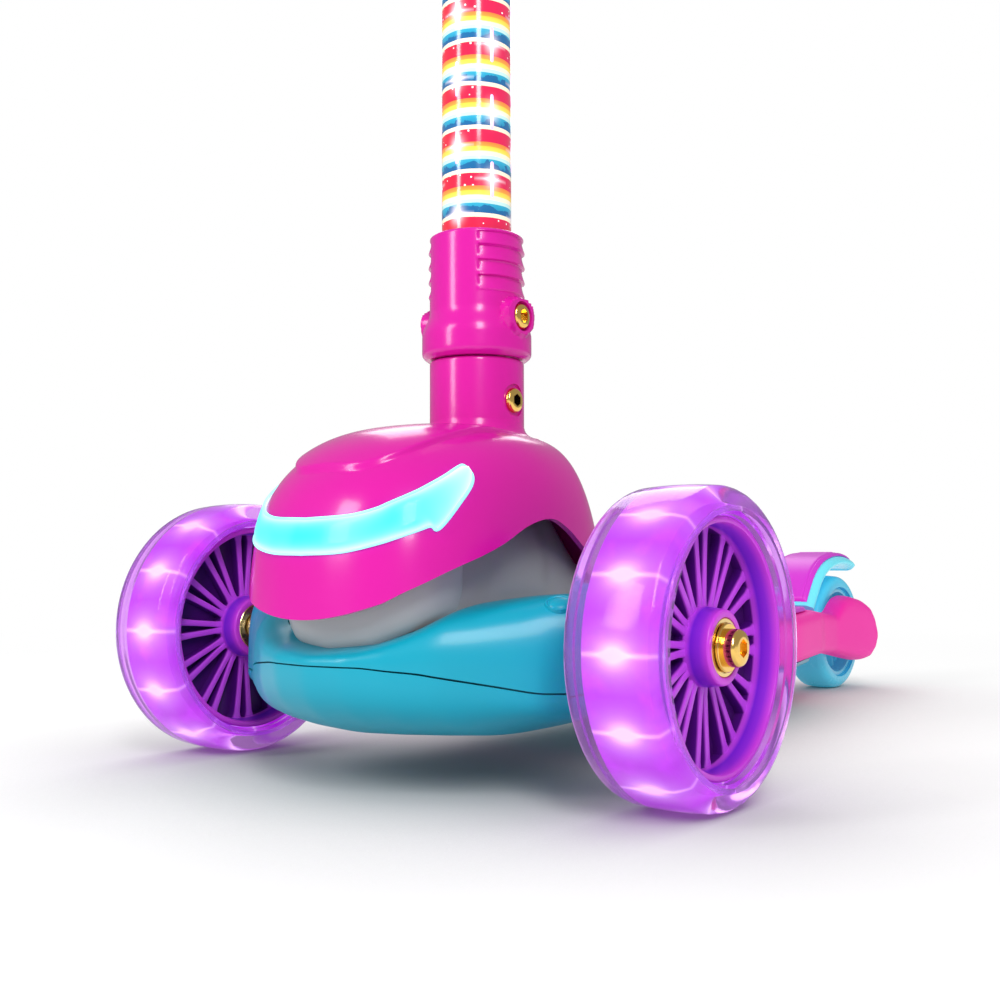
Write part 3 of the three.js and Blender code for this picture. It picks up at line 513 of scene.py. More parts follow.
edge_node = tree.nodes.new("ShaderNodeAttribute")
edge_node.attribute_name = "edge_distance"
edge_share = calc(tree, "EXPONENT", calc(tree, "MULTIPLY", edge_node.outputs["Fac"], -0.75))
whiter = calc(tree, "ADD", calc(tree, "MAXIMUM", whiter, 0.0), edge_share)
tint = blend_colours(tree, whiter, srgb(44, 214, 236), srgb(226, 253, 255))
lights_up(tree, shader, tint, 0.66)
set_inputs(shader, {"Roughness": 0.32, "Specular IOR Level": 0.3, "Coat Weight": 0.1})
relief(tree, shader, noise(tree, spot, 500.0, 2), 0.05, 0.0004)
dress(dome_light, "steering_column", strip, "light_lens", "dome_light_lens")
loop = np.concatenate([low, high[-2:0:-1]])
ahead_of = np.roll(loop, -1, 0) - np.roll(loop, 1, 0)
ahead_of = unit(ahead_of * [PLAN_LENGTH, 1.0])
outward = np.column_stack([ahead_of[:, 1] / PLAN_LENGTH, -ahead_of[:, 0]])
width = np.linspace(-0.8, 0.35, 7)
edge_place = loop[:, None] + outward[:, None] * width[None, :, None]
edge_at = on_dome(edge_place[..., 0], edge_place[..., 1])
flat_out = unit(edge_at - LIGHT_MIDDLE)
edge_rise = 1.15 * (1 - (np.linspace(-1, 1, 7)) ** 4)[None, :, None]
band_rim = skin("dome_light_rim", edge_at + flat_out * edge_rise, caps=False, crease=80, wall=0.5)
rim_glow, tree, shader = new_material("band_edge_glow")
spot = placed(tree)
edge_tint = blend_colours(tree, noise(tree, spot, 40.0, 2), srgb(120, 234, 246), srgb(176, 246, 252))
lights_up(tree, shader, edge_tint, 0.7)
shader.inputs["Roughness"].default_value = 0.35
dress(band_rim, "steering_column", rim_glow, "light_lens", "dome_light_lens")

# ---------------------------------------------------------------------------------------------------
# The stem socket: a moulded post that rises out of the dome with a soft root fillet. The folding
# stem's tongue sits in its bore, held by the gold pivot bolt, and its back is slotted for folding.


def rounded(points, radius, steps=4, closed=False):
    """The polyline with each corner replaced by a quadratic curve that starts and ends radius away
    from it: (1 - t)^2 a + 2 t (1 - t) b + t^2 c, and no further than 0.45 of a side."""
    p = np.asarray(points, float)
    before, after = np.roll(p, 1, 0), np.roll(p, -1, 0)
    back, ahead = before - p, after - p
    back_long = np.maximum(np.linalg.norm(back, axis=1), 1e-9)[:, None]
    ahead_long = np.maximum(np.linalg.norm(ahead, axis=1), 1e-9)[:, None]
    a = p + back * np.minimum(radius / back_long, 0.45)
    c = p + ahead * np.minimum(radius / ahead_long, 0.45)
    t = np.linspace(0, 1, steps + 1)[None, :, None]
    curve = (1 - t) ** 2 * a[:, None] + 2 * t * (1 - t) * p[:, None] + t ** 2 * c[:, None]
    if closed:
        return curve.reshape(-1, 2)
    return np.concatenate([p[:1], curve[1:-1].reshape(-1, 2), p[-1:]])


def lathe(profile, centre, axis="Z", sides=96):
    """A grid turned from a profile of (radius, height) round a line: across by r cos a and r sin a."""
    profile = np.asarray(profile, float)
    a = np.arange(sides)[:, None] * (2 * np.pi / sides)
    across, along = profile[None, :, 0], profile[None, :, 1] + 0 * a
    first, second = across * np.cos(a), across * np.sin(a)
    x, y, z = {"Z": (first, second, along), "Y": (second, along, first), "X": (along, first, second)}[axis]
    return np.stack([x, y, z], -1) + np.asarray(centre, float)


SQUARE = [(-1, -1), (1, -1), (1, 1), (-1, 1)]


def block(name, low, high, corner=0.0):
    """A closed box from its low and high corners, its upright edges rounded by corner."""
    (x0, y0, z0), (x1, y1, z1) = low, high
    plan = np.array([(x0, y0), (x1, y0), (x1, y1), (x0, y1)])
    plan = rounded(plan, corner, 5, closed=True) if corner else plan
    grid = np.stack([np.column_stack([plan, np.full(len(plan), z)]) for z in (z0, z1)], 1)
    return skin(name, grid)


STEM_X = 170.0
SOCKET_TOP = 182.7
FOLD_Z = 163.5
profile = [(0, 80), (21.6, 80), (21.6, 96), (21.6, SOCKET_TOP - 1), (20.6, SOCKET_TOP), (0, SOCKET_TOP)]
socket = skin("stem_post", lathe(rounded(profile, 0.8), (STEM_X, 0, 0), sides=120))
carve(socket, [
    skin("bore", lathe([(0, 146), (18.0, 146), (18.0, 190), (0, 190)], (STEM_X, 0, 0))),
    block("fold_slot", (STEM_X - 40, -16.8, 147), (STEM_X, 16.8, 190)),
    block("notch", (STEM_X - 40, -16.8, 136.5), (STEM_X - 15, 16.8, 150)),
    skin("seat_left", lathe([(0, 20.3), (7.4, 20.3), (7.4, 40), (0, 40)], (STEM_X, 0, FOLD_Z), "Y", 48)),
    skin("seat_right",
         lathe([(0, -40), (7.4, -40), (7.4, -20.3), (0, -20.3)], (STEM_X, 0, FOLD_Z), "Y", 48))])
dress(socket, "steering_column", pink, "pink_shell", "stem_socket")
a = np.arange(120) * (2 * np.pi / 120)
drop = np.linspace(0, 1, 10)[None, :]
root_r = 21.5 + 9.0 * drop ** 2.2
root_x = STEM_X + root_r * np.cos(a)[:, None]
root_y = root_r * np.sin(a)[:, None]
root_z = dome_crown(root_x, root_y) + 1.4 + 7.0 * (1 - drop) ** 2.2 - 3.2 * drop
keep_out = np.maximum(1 - step(np.cos(a)[:, None], -0.75, -0.45), 0)
root_z = root_z - keep_out * np.maximum(root_z - HOLLOW_Z, 0)
root = skin("post_root", np.stack([root_x, root_y, root_z], -1), caps=False, crease=60, wall=1.0)
dress(root, "steering_column", pink, "pink_shell")

# Gold fittings: cold-headed steel bolts with hex sockets, plated gold. One lathe profile and one hexagonal
# hole make them all; a fine grain and darker tarnished patches run through the plating.
plating, took, gives = group(
    "worn_metal",
    [("Colour", "NodeSocketColor", (1, 1, 1, 1)), ("Gloss", "NodeSocketFloat", 0.2)],
    [("Colour", "NodeSocketColor"), ("Roughness", "NodeSocketFloat"), ("Height", "NodeSocketFloat")])
spot = placed(plating)
tarnish = noise(plating, spot, 180.0, 4, 0.6)
dark = blend_colours(plating, 1.0, took.outputs[0], (0.55, 0.50, 0.45, 1), "MULTIPLY")
share = calc(plating, "MULTIPLY", calc(plating, "MAXIMUM", calc(plating, "SUBTRACT", tarnish, 0.55), 0.0),
             1.1)
plating.links.new(blend_colours(plating, share, took.outputs[0], dark), gives.inputs[0])
fine = noise(plating, spot, 2600.0, 2)
plating.links.new(calc(plating, "ADD", took.outputs[1], calc(plating, "MULTIPLY", share, 0.3)),
                  gives.inputs[1])
plating.links.new(calc(plating, "ADD", calc(plating, "MULTIPLY", fine, 0.3),
                       calc(plating, "MULTIPLY", tarnish, 0.3)), gives.inputs[2])


def metal(name, colour, gloss=0.2, bump=0.05):
    """A metal finish: the worn_metal group drives colour, roughness and bump."""
    made, tree, shader = new_material(name)
    node = tree.nodes.new("ShaderNodeGroup")
    node.node_tree = plating
    node.inputs[0].default_value = colour
    node.inputs[1].default_value = gloss
    tree.links.new(node.outputs[0], shader.inputs["Base Color"])
    tree.links.new(node.outputs[1], shader.inputs["Roughness"])
    relief(tree, shader, node.outputs[2], bump, 0.0003)
    shader.inputs["Metallic"].default_value = 1.0
    return made


gold = metal("gold_plate", (0.94, 0.60, 0.16, 1), gloss=0.16)
steel = metal("bright_steel", (0.62, 0.63, 0.65, 1), gloss=0.26)
aluminium = metal("drawn_aluminium", (0.78, 0.79, 0.82, 1), gloss=0.24)


def bolt(name, centre, facing, head_r, face, seat, shank_r, end, hex_r):
    """A bolt along Y: a domed head from seat to face, a shank on to end, and a hex hole in the head.
    facing is the side that the head looks to, and face, seat and end are distances from the middle."""
    profile = [(0, face), (head_r * 0.62, face), (head_r * 0.9, face - 0.5), (head_r, face - 1.5),
               (head_r, seat),
               (shank_r, seat), (shank_r, end), (0, end)]
    profile = np.asarray(rounded(profile, 0.4, 3)) * [1, facing]
    piece = skin(name, lathe(profile, centre, "Y", 48), crease=40)
    hexagon = [(0, face - 2.6), (hex_r * 1.1547, face - 2.6), (hex_r * 1.1547, face + 2), (0, face + 2)]
    carve(piece, [skin("hex", lathe(np.asarray(hexagon) * [1, facing], centre, "Y", 6))])
    return piece


for label, s in SIDES:
    fold_bolt = bolt(f"fold_bolt_{label}_end", (STEM_X, 0, FOLD_Z), s, 5.6, 22.9, 20.3, 3.4, -14 * s, 2.5)
    dress(fold_bolt, "steering_column", gold, "gold_metal", "fold_pivot_bolt")

# ---------------------------------------------------------------------------------------------------
# The locking sleeve: a glossy moulded collar round the joint that is lifted to fold the stem. Its two
# flanks carry four shingled grip ribs, and a gold screw sits in a recessed boss on each side.
SLEEVE_LOW, SLEEVE_HIGH, SLEEVE_BORE = 183.0, 240.0, 18.9
BOSS_Z = 201.0
a = np.arange(240) * (2 * np.pi / 240)
z = np.concatenate([np.linspace(SLEEVE_LOW, 211, 26)[:-1], np.linspace(211, SLEEVE_HIGH, 64)])
az, zz = a[:, None], z[None, :]
radius = 21.6 + 3.5 * (1 - step(zz, 193.5, 205.5)) + 0 * az
radius = radius - 2.2 * (1 - np.clip((zz - SLEEVE_LOW) / 3.2, 0, 1)) ** 2.2
radius = radius - 1.1 * np.clip((zz - 238.8) / 1.2, 0, 1) ** 2
off_front = np.degrees(np.arccos(np.clip(np.cos(az), -1, 1)))
panel = step(off_front, 38, 41) * (1 - step(off_front, 139, 142))
within = (zz > 211.5) * (zz < 238.6)
phase = ((238.6 - zz) / 6.8) % 1.0
shingle = 0.35 + 1.75 * phase ** 1.6 - 1.75 * step(phase, 0.90, 0.985)
radius = radius + panel * within * (shingle - 1.25)
off_side = np.minimum(np.abs(az - np.pi / 2), np.abs(az - 3 * np.pi / 2))
side_boss = np.sqrt((radius * off_side) ** 2 + (zz - BOSS_Z) ** 2)
boss_face = 26.3 / np.maximum(np.abs(np.sin(az)), 0.5)
raised = (1 - step(side_boss, 8.4, 9.4))
radius = np.maximum(radius, radius * (1 - raised) + np.minimum(boss_face, 27.4) * raised)
outside = np.stack([STEM_X + radius * np.cos(az), radius * np.sin(az), zz + 0 * az], -1)
inner_z = np.linspace(SLEEVE_HIGH, SLEEVE_LOW, 12)
inside = lathe(np.column_stack([np.full(12, SLEEVE_BORE), inner_z]), (STEM_X, 0, 0), "Z", 240)
sleeve = skin("locking_sleeve", np.concatenate([outside, inside], 1), along=True, crease=32)
carve(sleeve, [
    skin("well_left", lathe([(0, 22.9), (6.6, 22.9), (6.9, 30), (0, 30)], (STEM_X, 0, BOSS_Z), "Y", 64)),
    skin("well_right",
         lathe([(0, -30), (6.9, -30), (6.6, -22.9), (0, -22.9)], (STEM_X, 0, BOSS_Z), "Y", 64))], 32)
dress(sleeve, "fold_sleeve", pink, "pink_shell", "fold_sleeve")
for label, facing in SIDES:
    screw = bolt(f"sleeve_screw_{label}", (STEM_X, 0, BOSS_Z), facing, 5.7, 26.9, 23.2, 2.6, 19.2, 2.7)
    dress(screw, "fold_sleeve", gold, "gold_metal", f"sleeve_bolt_{label}")

# ---------------------------------------------------------------------------------------------------
# The rainbow stem: a clear outer tube printed on the inside with repeating rainbow bands, small white
# stars and blue clouds, round an aluminium core. Six strings of lights shine through its slots.
TUBE_R = 16.0
TUBE_LOW, TUBE_HIGH = 186.3, 498.0
BAND_PITCH = 20.0
profile = [(13.4, TUBE_LOW), (TUBE_R, TUBE_LOW), (TUBE_R, TUBE_HIGH), (13.4, TUBE_HIGH)]
tube = skin("rainbow_tube", lathe(rounded(profile, 0.7, 3, closed=True), (STEM_X, 0, 0), sides=96),
            along=True)
ring = [(TUBE_R - 0.5, 229.6), (18.5, 229.6), (18.5, 232.0), (TUBE_R - 0.5, 232.0)]
stop_ring = skin("spring_stop_ring", lathe(rounded(ring, 0.3, 2, closed=True), (STEM_X, 0, 0)), along=True)
dress(stop_ring, "stem", steel, "rainbow_tube")
LIGHT_PITCH, LIGHT_LOW, LIGHT_TURN = 31.0, 248.0, 4.0


def round_stem(tree, axes):
    """The angle of a point round the stem's line."""
    return calc(tree, "ARCTAN2", axes[1], calc(tree, "SUBTRACT", axes[0], STEM_X / 1000))


def off_lights(tree, axes):
    """How far a point is from the nearest light slot: round the tube and along it, in mm."""
    column = calc(tree, "MULTIPLY",
                  calc(tree, "SUBTRACT", round_stem(tree, axes), math.radians(LIGHT_TURN)),
                  3 / math.pi)
    nearest = calc(tree, "ROUND", column)
    odd = calc(tree, "MULTIPLY", calc(tree, "PINGPONG", nearest, 1.0), 0.5)
    row = calc(tree, "SUBTRACT", calc(tree, "MULTIPLY", calc(tree, "SUBTRACT", axes[2], LIGHT_LOW / 1000),
                                      1000 / LIGHT_PITCH), odd)
    return (calc(tree, "MULTIPLY", calc(tree, "SUBTRACT", column, nearest), math.pi / 3 * TUBE_R),
            calc(tree, "MULTIPLY", calc(tree, "SUBTRACT", row, calc(tree, "ROUND", row)), LIGHT_PITCH))


printed, tree, shader = new_material("rainbow_print")
spot, axes = position(tree)
height = axes[2]
wavy = calc(tree, "MULTIPLY_ADD", noise(tree, spot, 60.0, 2), 0.05, -0.025)
band = calc(tree, "FRACT",
            calc(tree, "ADD", calc(tree, "MULTIPLY_ADD", height, 1000 / BAND_PITCH, 0.6), wavy))
azimuth = round_stem(tree, axes)
sweep = calc(tree, "MULTIPLY_ADD", calc(tree, "SINE", calc(tree, "ADD", azimuth, -0.25)), 0.5, 0.5)
rose = blend_colours(tree, sweep, srgb(230, 30, 52), srgb(220, 30, 84))
cream = srgb(255, 241, 212)
cyan_pale = srgb(196, 236, 232)
stops = [(0.0, srgb(26, 120, 172)), (0.16, srgb(40, 160, 196)), (0.215, srgb(48, 168, 200)),
         (0.225, cyan_pale),
         (0.30, cyan_pale), (0.31, cream), (0.40, cream), (0.41, srgb(255, 222, 96)),
         (0.51, srgb(255, 208, 70)),
         (0.52, srgb(250, 160, 66)), (0.61, srgb(244, 132, 60)), (0.62, srgb(222, 46, 62)),
         (0.90, srgb(226, 46, 60)),
         (0.91, cream), (1.0, cream)]
bands = ramp(tree, band, stops)
in_rose = calc(tree, "MULTIPLY", calc(tree, "GREATER_THAN", band, 0.615),
               calc(tree, "LESS_THAN", band, 0.905))
coloured = blend_colours(tree, in_rose, bands, rose)
cloud_noise = noise(tree, spot, 210.0, 3, 0.45)
cloud_line = calc(tree, "MULTIPLY_ADD", cloud_noise, 0.46, -0.11)
cloud = calc(tree, "LESS_THAN", band, cloud_line)
coloured = blend_colours(tree, calc(tree, "MULTIPLY", cloud, 0.85), coloured, srgb(22, 92, 150))
stars = tree.nodes.new("ShaderNodeTexVoronoi")
stars.inputs["Scale"].default_value = 260.0
tree.links.new(spot, stars.inputs["Vector"])
star = calc(tree, "MULTIPLY", calc(tree, "LESS_THAN", stars.outputs["Distance"], 0.13), in_rose)
coloured = blend_colours(tree, star, coloured, (1, 1, 1, 1))
off_column, off_row = off_lights(tree, axes)


def bell(across, wide, along, long):
    """exp(-(across / wide)^2 - (along / long)^2) as nodes."""
    first = calc(tree, "POWER", calc(tree, "ABSOLUTE", calc(tree, "DIVIDE", across, wide)), 2.0)
    second = calc(tree, "POWER", calc(tree, "ABSOLUTE", calc(tree, "DIVIDE", along, long)), 2.0)
    return calc(tree, "EXPONENT", calc(tree, "MULTIPLY", calc(tree, "ADD", first, second), -1.0))


halo = calc(tree, "ADD", bell(off_column, 3.0, off_row, 4.2),
            calc(tree, "MULTIPLY", bell(off_column, 7.0, off_row, 0.7), 0.8))
lit_part = calc(tree, "MULTIPLY", calc(tree, "GREATER_THAN", height, 0.238),
                calc(tree, "LESS_THAN", height, 0.446))
halo = calc(tree, "MULTIPLY", calc(tree, "MINIMUM", halo, 1.0), calc(tree, "MULTIPLY", lit_part, 0.90))
shown = blend_colours(tree, halo, coloured, (1.0, 0.90, 0.97, 1))
lights_up(tree, shader, shown, 0.22)
set_inputs(shader, {"Roughness": 0.16, "Coat Weight": 0.25, "Coat Roughness": 0.03})
relief(tree, shader, noise(tree, spot, 300.0, 2), 0.03, 0.0003)
dress(tube, "stem", printed, "rainbow_tube", "stem_light_tube")

# The light slots: small rounded windows, each a low pillow that follows the tube, in six columns
# that are staggered by half a pitch. The lamps behind them glow white at the middle.
SLOT_LONG, SLOT_WIDE = 16.5, 2.3
rows = [(c, LIGHT_LOW + LIGHT_PITCH * (r + 0.5 * (c % 2))) for c in range(6) for r in range(7)]
rows = [(c, z) for c, z in rows if 240 < z - SLOT_LONG / 2 and z + SLOT_LONG / 2 < 446]
s, w = np.meshgrid(np.linspace(-1, 1, 7), np.linspace(-1, 1, 17), indexing="ij")
lift = SLOT_LONG / 2 * np.sin(w * np.pi / 2)
end = np.maximum(np.abs(lift) - (SLOT_LONG - SLOT_WIDE) / 2, 0)
half_wide = np.sqrt(np.maximum((SLOT_WIDE / 2) ** 2 - end ** 2, 0.002))
pillow = TUBE_R - 0.25 + 0.42 * (1 - s ** 4) * (1 - w ** 8)
grids = []
for c, z in rows:
    turn = math.radians(60 * c + LIGHT_TURN) + s * half_wide / TUBE_R
    grids.append(np.stack([STEM_X + pillow * np.cos(turn), pillow * np.sin(turn), z + lift], -1))
slots = skin("light_slots", grids, around=False, crease=80, wall=0.5)
lamp, tree, shader = new_material("lamp_window")
spot, axes = position(tree)
core_glow = bell(0.0, 1.0, off_lights(tree, axes)[1], 7.5 / math.sqrt(3))
window = blend_colours(tree, core_glow, srgb(255, 176, 226), (1, 1, 1, 1))
window = blend_colours(tree, calc(tree, "MULTIPLY", noise(tree, spot, 500.0, 2), 0.25), window,
                       srgb(250, 130, 210))
lights_up(tree, shader, window, 0.85)
shader.inputs["Roughness"].default_value = 0.15
dress(slots, "stem", lamp, "led_strip")

# ---------------------------------------------------------------------------------------------------
# The nose: two teal shells that meet along a thin seam. They cradle the steering works, spread
# into an arm for each front wheel, and run back under the deck.
SEAM_Z = 49.0
ACROSS = np.array([0, 18, 34, 49, 58, 67, 76, 84, 92, 98])
NOSE_FRONT = np.array([76, 73.5, 67, 57, 49, 41, 33.5, 26, 20.5, 18]) + FRONT_X
NOSE_BACK = np.array([-72, -72, -72, -71.5, -70, -50, -36, -35, -33, -18]) + FRONT_X
CREST = [(0, 59), (22, 61.5), (36, 68), (47, 76), (60, 78), (98, 80)]
BELLY = [(0, 20.2), (50, 22), (58, 24), (70, 27.5), (84, 31), (98, 33.5)]
SEAM = [(0, 52.0), (24, 52.0), (44, 49.8), (63, 45.5), (79, 41.8), (98, 41.8)]


def nose_section(y, turn):
    """A point of the nose's outside: at each y a flattened ring in x and z, with
    the circle (cos, sin) divided by (|cos|^n + |sin|^n)^(1/n), n = 3.4 above the seam and 2.7 below;
    the arms' ends are drawn in over the last 6 mm."""
    side_y = np.abs(y)
    front = np.interp(side_y, ACROSS, NOSE_FRONT)
    back = np.interp(side_y, ACROSS, NOSE_BACK)
    top = np.interp(side_y, *np.array(CREST).T)
    low = np.interp(side_y, *np.array(BELLY).T)
    ending = np.clip((side_y - 92) / 6, 0, 1)
    pull = (1 - ending ** 2.6) ** (1 / 2.6)
    pull = 0.80 + 0.20 * pull
    seam = np.interp(side_y, *np.array(SEAM).T)
    n = np.where(np.sin(turn) >= 0, 3.4, 2.7)
    size = (np.abs(np.cos(turn)) ** n + np.abs(np.sin(turn)) ** n) ** (1 / n)
    c, s = np.cos(turn) / size, np.sin(turn) / size
    x = (front + back) / 2 + (front - back) / 2 * c * pull
    rise = np.where(s >= 0, top - seam, seam - low)
    z = seam + s * rise * pull
    return np.stack([x, y, z], -1)


def smoothed(values, times=2):
    """Each value averaged with its neighbours, a few times over."""
    for _ in range(times):
        values[1:-1] = (values[:-2] + 2 * values[1:-1] + values[2:]) / 4
    return values


y_line = smoothed(np.concatenate([np.linspace(-98, -92, 8), np.linspace(-91, 91, 116),
                                  np.linspace(92, 98, 8)]), 1)


def nose_shell(name, first, last):
    """Half of the nose's ring, as an open skin with its two ends closed, thickened inwards."""
    turn = np.linspace(first, last, 96)
    grid = nose_section(y_line[None, :] + 0 * turn[:, None], turn[:, None] + 0 * y_line[None, :])
    for _ in range(3):
        grid[:, 1:-1] = (grid[:, :-2] + 2 * grid[:, 1:-1] + grid[:, 2:]) / 4
    ends = []
    for edge in (0, -1):
        rim = grid[:, edge]
        flat = rim * [1, 1, 0] + [0, 0, SEAM[-1][1]]
        share = np.linspace(0, 1, 4)[None, :, None]
        ends.append(rim[:, None] * (1 - share) + flat[:, None] * share)
    return skin(name, [grid] + ends, around=False, crease=40, wall=2.5)


gap = 0.014
upper = nose_shell("nose_upper", gap, math.pi - gap)
lower = nose_shell("nose_lower", math.pi + gap, 2 * math.pi - gap)


def nose_cutters():
    """The pockets that the steering knuckles turn in, and the slots for the tie rod behind the arms."""
    made = []
    for label, s in SIDES:
        spans = [sorted((s * 78.5, s * 101)), sorted((s * 40, s * 101))]
        made.append(block("pocket_" + label, (FRONT_X - 14, spans[0][0], SEAM_Z - 4),
                          (FRONT_X + 14, spans[0][1], 70)))
        made.append(block("shelf_" + label, (FRONT_X - 33.2, spans[0][0], 54),
                          (FRONT_X - 13.8, spans[0][1], 70.1)))
        made.append(block("rod_" + label, (FRONT_X - 33, spans[1][0], 54.1),
                          (FRONT_X - 17, spans[1][1], 69.9)))
    return made


teal = plastic("teal_moulding", srgb(12, 160, 186), gloss=0.33, drift=0.06, bump=0.02, coat=0.06)
well = block("well", (FRONT_X - 62, -40, 55), (FRONT_X + 50, 40, 100), 8)
carve(upper, nose_cutters() + [well], 40)
carve(lower, nose_cutters(), 40)
dress(upper, "chassis", teal, "teal_shell", "nose_upper_shell")
dress(lower, "chassis", teal, "teal_shell", "nose_lower_shell")
turn = np.linspace(0, 2 * np.pi, 97)[:-1, None]
seam_ring = nose_section(y_line[None, :] * 0.985 + 0 * turn, turn + 0 * y_line[None, :])
seam_level = np.interp(np.abs(seam_ring[..., 1]), *np.array(SEAM).T)
seam_mid = (seam_ring[:1, :, 0] + seam_ring[48:49, :, 0]) / 2
seam_ring[..., 0] = seam_mid + (seam_ring[..., 0] - seam_mid) * 0.976
seam_ring[..., 2] = seam_level + (seam_ring[..., 2] - seam_level) * 0.06
gasket = skin("seam_gasket", seam_ring, crease=60)
carve(gasket, nose_cutters() + [block("well_too", (FRONT_X - 62, -40, 35), (FRONT_X + 50, 40, 100), 8)])
shade = plastic("dark_seam", srgb(8, 84, 100), gloss=0.6, drift=0.1, bump=0.05)
dress(gasket, "chassis", shade, "teal_shell")

# The kingpin caps: pebble-shaped teal plugs pressed into the arms over the kingpins, with a soft
# raised rim.
for label, s in SIDES:
    t = np.linspace(0, 1, 14)[None, :]
    a = np.arange(64)[:, None] * (2 * np.pi / 64)
    reach = 1 - t ** 2.4
    lift = 78.6 + 4.6 * np.sqrt(np.clip(1 - (1 - t) ** 3, 0, 1)) - 0.9 * step(t, 0.35, 0.7)
    cap_grid = np.stack([FRONT_X + 9.0 * reach * np.cos(a), s * 89 + 9.0 * reach * np.sin(a), lift + 0 * a],
                        -1)
    foot = cap_grid[:, :1] * [1, 1, 0] + [0, 0, 74.0]
    cap = skin(f"kingpin_cap_{label}", np.concatenate([foot, cap_grid], 1), crease=50)
    dress(cap, "chassis", teal, "teal_shell", f"kingpin_{label}")

# The arm plugs: oval pebbles with a raised rim, let into the rounding at the front of each arm.
PLUG_Y, PLUG_TURN = 80.5, math.radians(52)
PLUG = [(1.0, -3.2), (1.0, 0.35), (0.97, 0.75), (0.88, 0.85), (0.82, 0.5), (0.77, 0.45), (0.70, 0.8),
        (0.55, 1.15),
        (0.3, 1.4), (0.0, 1.45)]
for label, s in SIDES:
    middle = nose_section(np.array(s * PLUG_Y), np.array(PLUG_TURN))
    past = nose_section(np.array(s * PLUG_Y + 1.0), np.array(PLUG_TURN))
    over = nose_section(np.array(s * PLUG_Y), np.array(PLUG_TURN + 0.05))
    first = unit(past - middle)
    normal = unit(np.cross(first, over - middle))
    normal = normal * (1 if normal[0] > 0 else -1)
    second = np.cross(normal, first)
    a = np.arange(64)[:, None] * (2 * np.pi / 64)
    reach, lift = np.array(PLUG).T[:, None, :]
    plug_at = middle + first * (5.75 * reach * np.cos(a))[..., None]
    plug_at = plug_at + second * (4.75 * reach * np.sin(a))[..., None] + normal * (lift + 0 * a)[..., None]
    plug = skin(f"arm_plug_{label}", plug_at, crease=50)
    dress(plug, "chassis", teal, "teal_shell")

# ---------------------------------------------------------------------------------------------------
# The grey shroud: a dull moulded wall that closes off the steering works behind the side arches, with
# a smooth crescent lip that shows under the front of the dome.
SHROUD_HALF = [(60, 0), (57, 18), (48, 32), (34, 40.5), (10, 43), (-25, 43), (-60, 43), (-66, 37.5),
               (-66.5, 20),
               (-66.5, 0)]
shroud_plan = both_sides(SHROUD_HALF)
u = np.arange(160) / 160
edge = curve_at(shroud_plan, u, closed=True)
top_z = np.interp(edge[:, 0] - FRONT_X, [-66.5, -40, 38, 62], [88, 112, 112, 100])
rise = np.linspace(0, 1, 24)[None, :]
middle = np.array([FRONT_X - 4, 0])
draw_in = 1 - 0.14 * np.clip((rise - 0.55) / 0.45, 0, 1) ** 2.2
facet = 1 + 0.012 * np.sign(np.sin(u * 2 * np.pi * 9))[:, None] * step(rise, 0.45,
        0.5) * (1 - step(rise, 0.9, 1.0))
shroud_x = middle[0] + (edge[:, :1] - middle[0]) * draw_in * facet
shroud_y = edge[:, 1:] * draw_in * facet
shroud_z = 50 + (top_z[:, None] - 50) * rise
shroud = skin("shroud_wall", np.stack([shroud_x, shroud_y, shroud_z], -1), caps=False, crease=30, wall=2.0)
slot_box = block("rod_slot", (168.2, -60, 54), (187.8, 60, 70))
carve(shroud, [slot_box], 30)
# The wall and the lip are one grey moulding: the wall's darker grey is painted shade, for the shade it
# stands in under the arches.
shaded_grey_plastic = plastic("grey_moulding_painted_shade", srgb(164, 164, 165), gloss=0.42, drift=0.05, scuff=0.1,
                       fineness=1600.0, bump=0.06)
dress(shroud, "chassis", shaded_grey_plastic, "grey_shield", "dust_shield")
LIP_HALF = [(65.5, 0), (63, 18), (56, 31), (47, 39), (38, 42), (32, 43.2)]
lip_line = curve_at([(x, -y) for x, y in LIP_HALF[:0:-1]] + LIP_HALF, np.linspace(0, 1, 90))
crest = np.interp(np.abs(lip_line[:, 1]), *np.array(CREST).T)
t = np.linspace(0, 1, 16)
bulge = np.sin(np.pi * t) ** 0.5
ends = np.sqrt(np.clip(1 - np.linspace(-1, 1, 90) ** 6, 0, 1))[:, None]
lip_x = FRONT_X + lip_line[:, :1] - 4.5 + 4.5 * bulge * ends
lip_y = lip_line[:, 1:] * (0.93 + 0.07 * bulge * ends)
lip_top = dome_rim(FRONT_X + lip_line[:, 0], lip_line[:, 1])[:, None] + 3.0
lip_z = crest[:, None] - 2.5 + (lip_top - crest[:, None] + 2.5) * t
lip = skin("shroud_lip", np.stack([lip_x, lip_y, lip_z], -1), around=False, crease=60, wall=2.2)
# The lip's paler grey is painted light, for the light that falls on it under the front of the dome.
lit_pale_grey = plastic("pale_grey_moulding_painted_light", srgb(186, 187, 189), gloss=0.36, drift=0.05, fineness=1600.0,
                    bump=0.03)
dress(lip, "chassis", lit_pale_grey, "grey_shield", "dust_shield")

# ---------------------------------------------------------------------------------------------------
# The front wheels: a purple nylon core with twelve pairs of slim bars, a ring of lamps round its rim
# and a clear lilac tyre cast over them. Each turns on two bearings on its gold axle bolt.
AXLE = (FRONT_X, 0.0, 60.0)
TRACK = 125.0
TYRE_R, TYRE_HALF, CORE_R = 60.0, 19.5, 48.3
violet = plastic("violet_core", srgb(206, 66, 226), gloss=0.28, drift=0.08, scuff=0.02)
tree = violet.node_tree
axes = position(tree)[1]
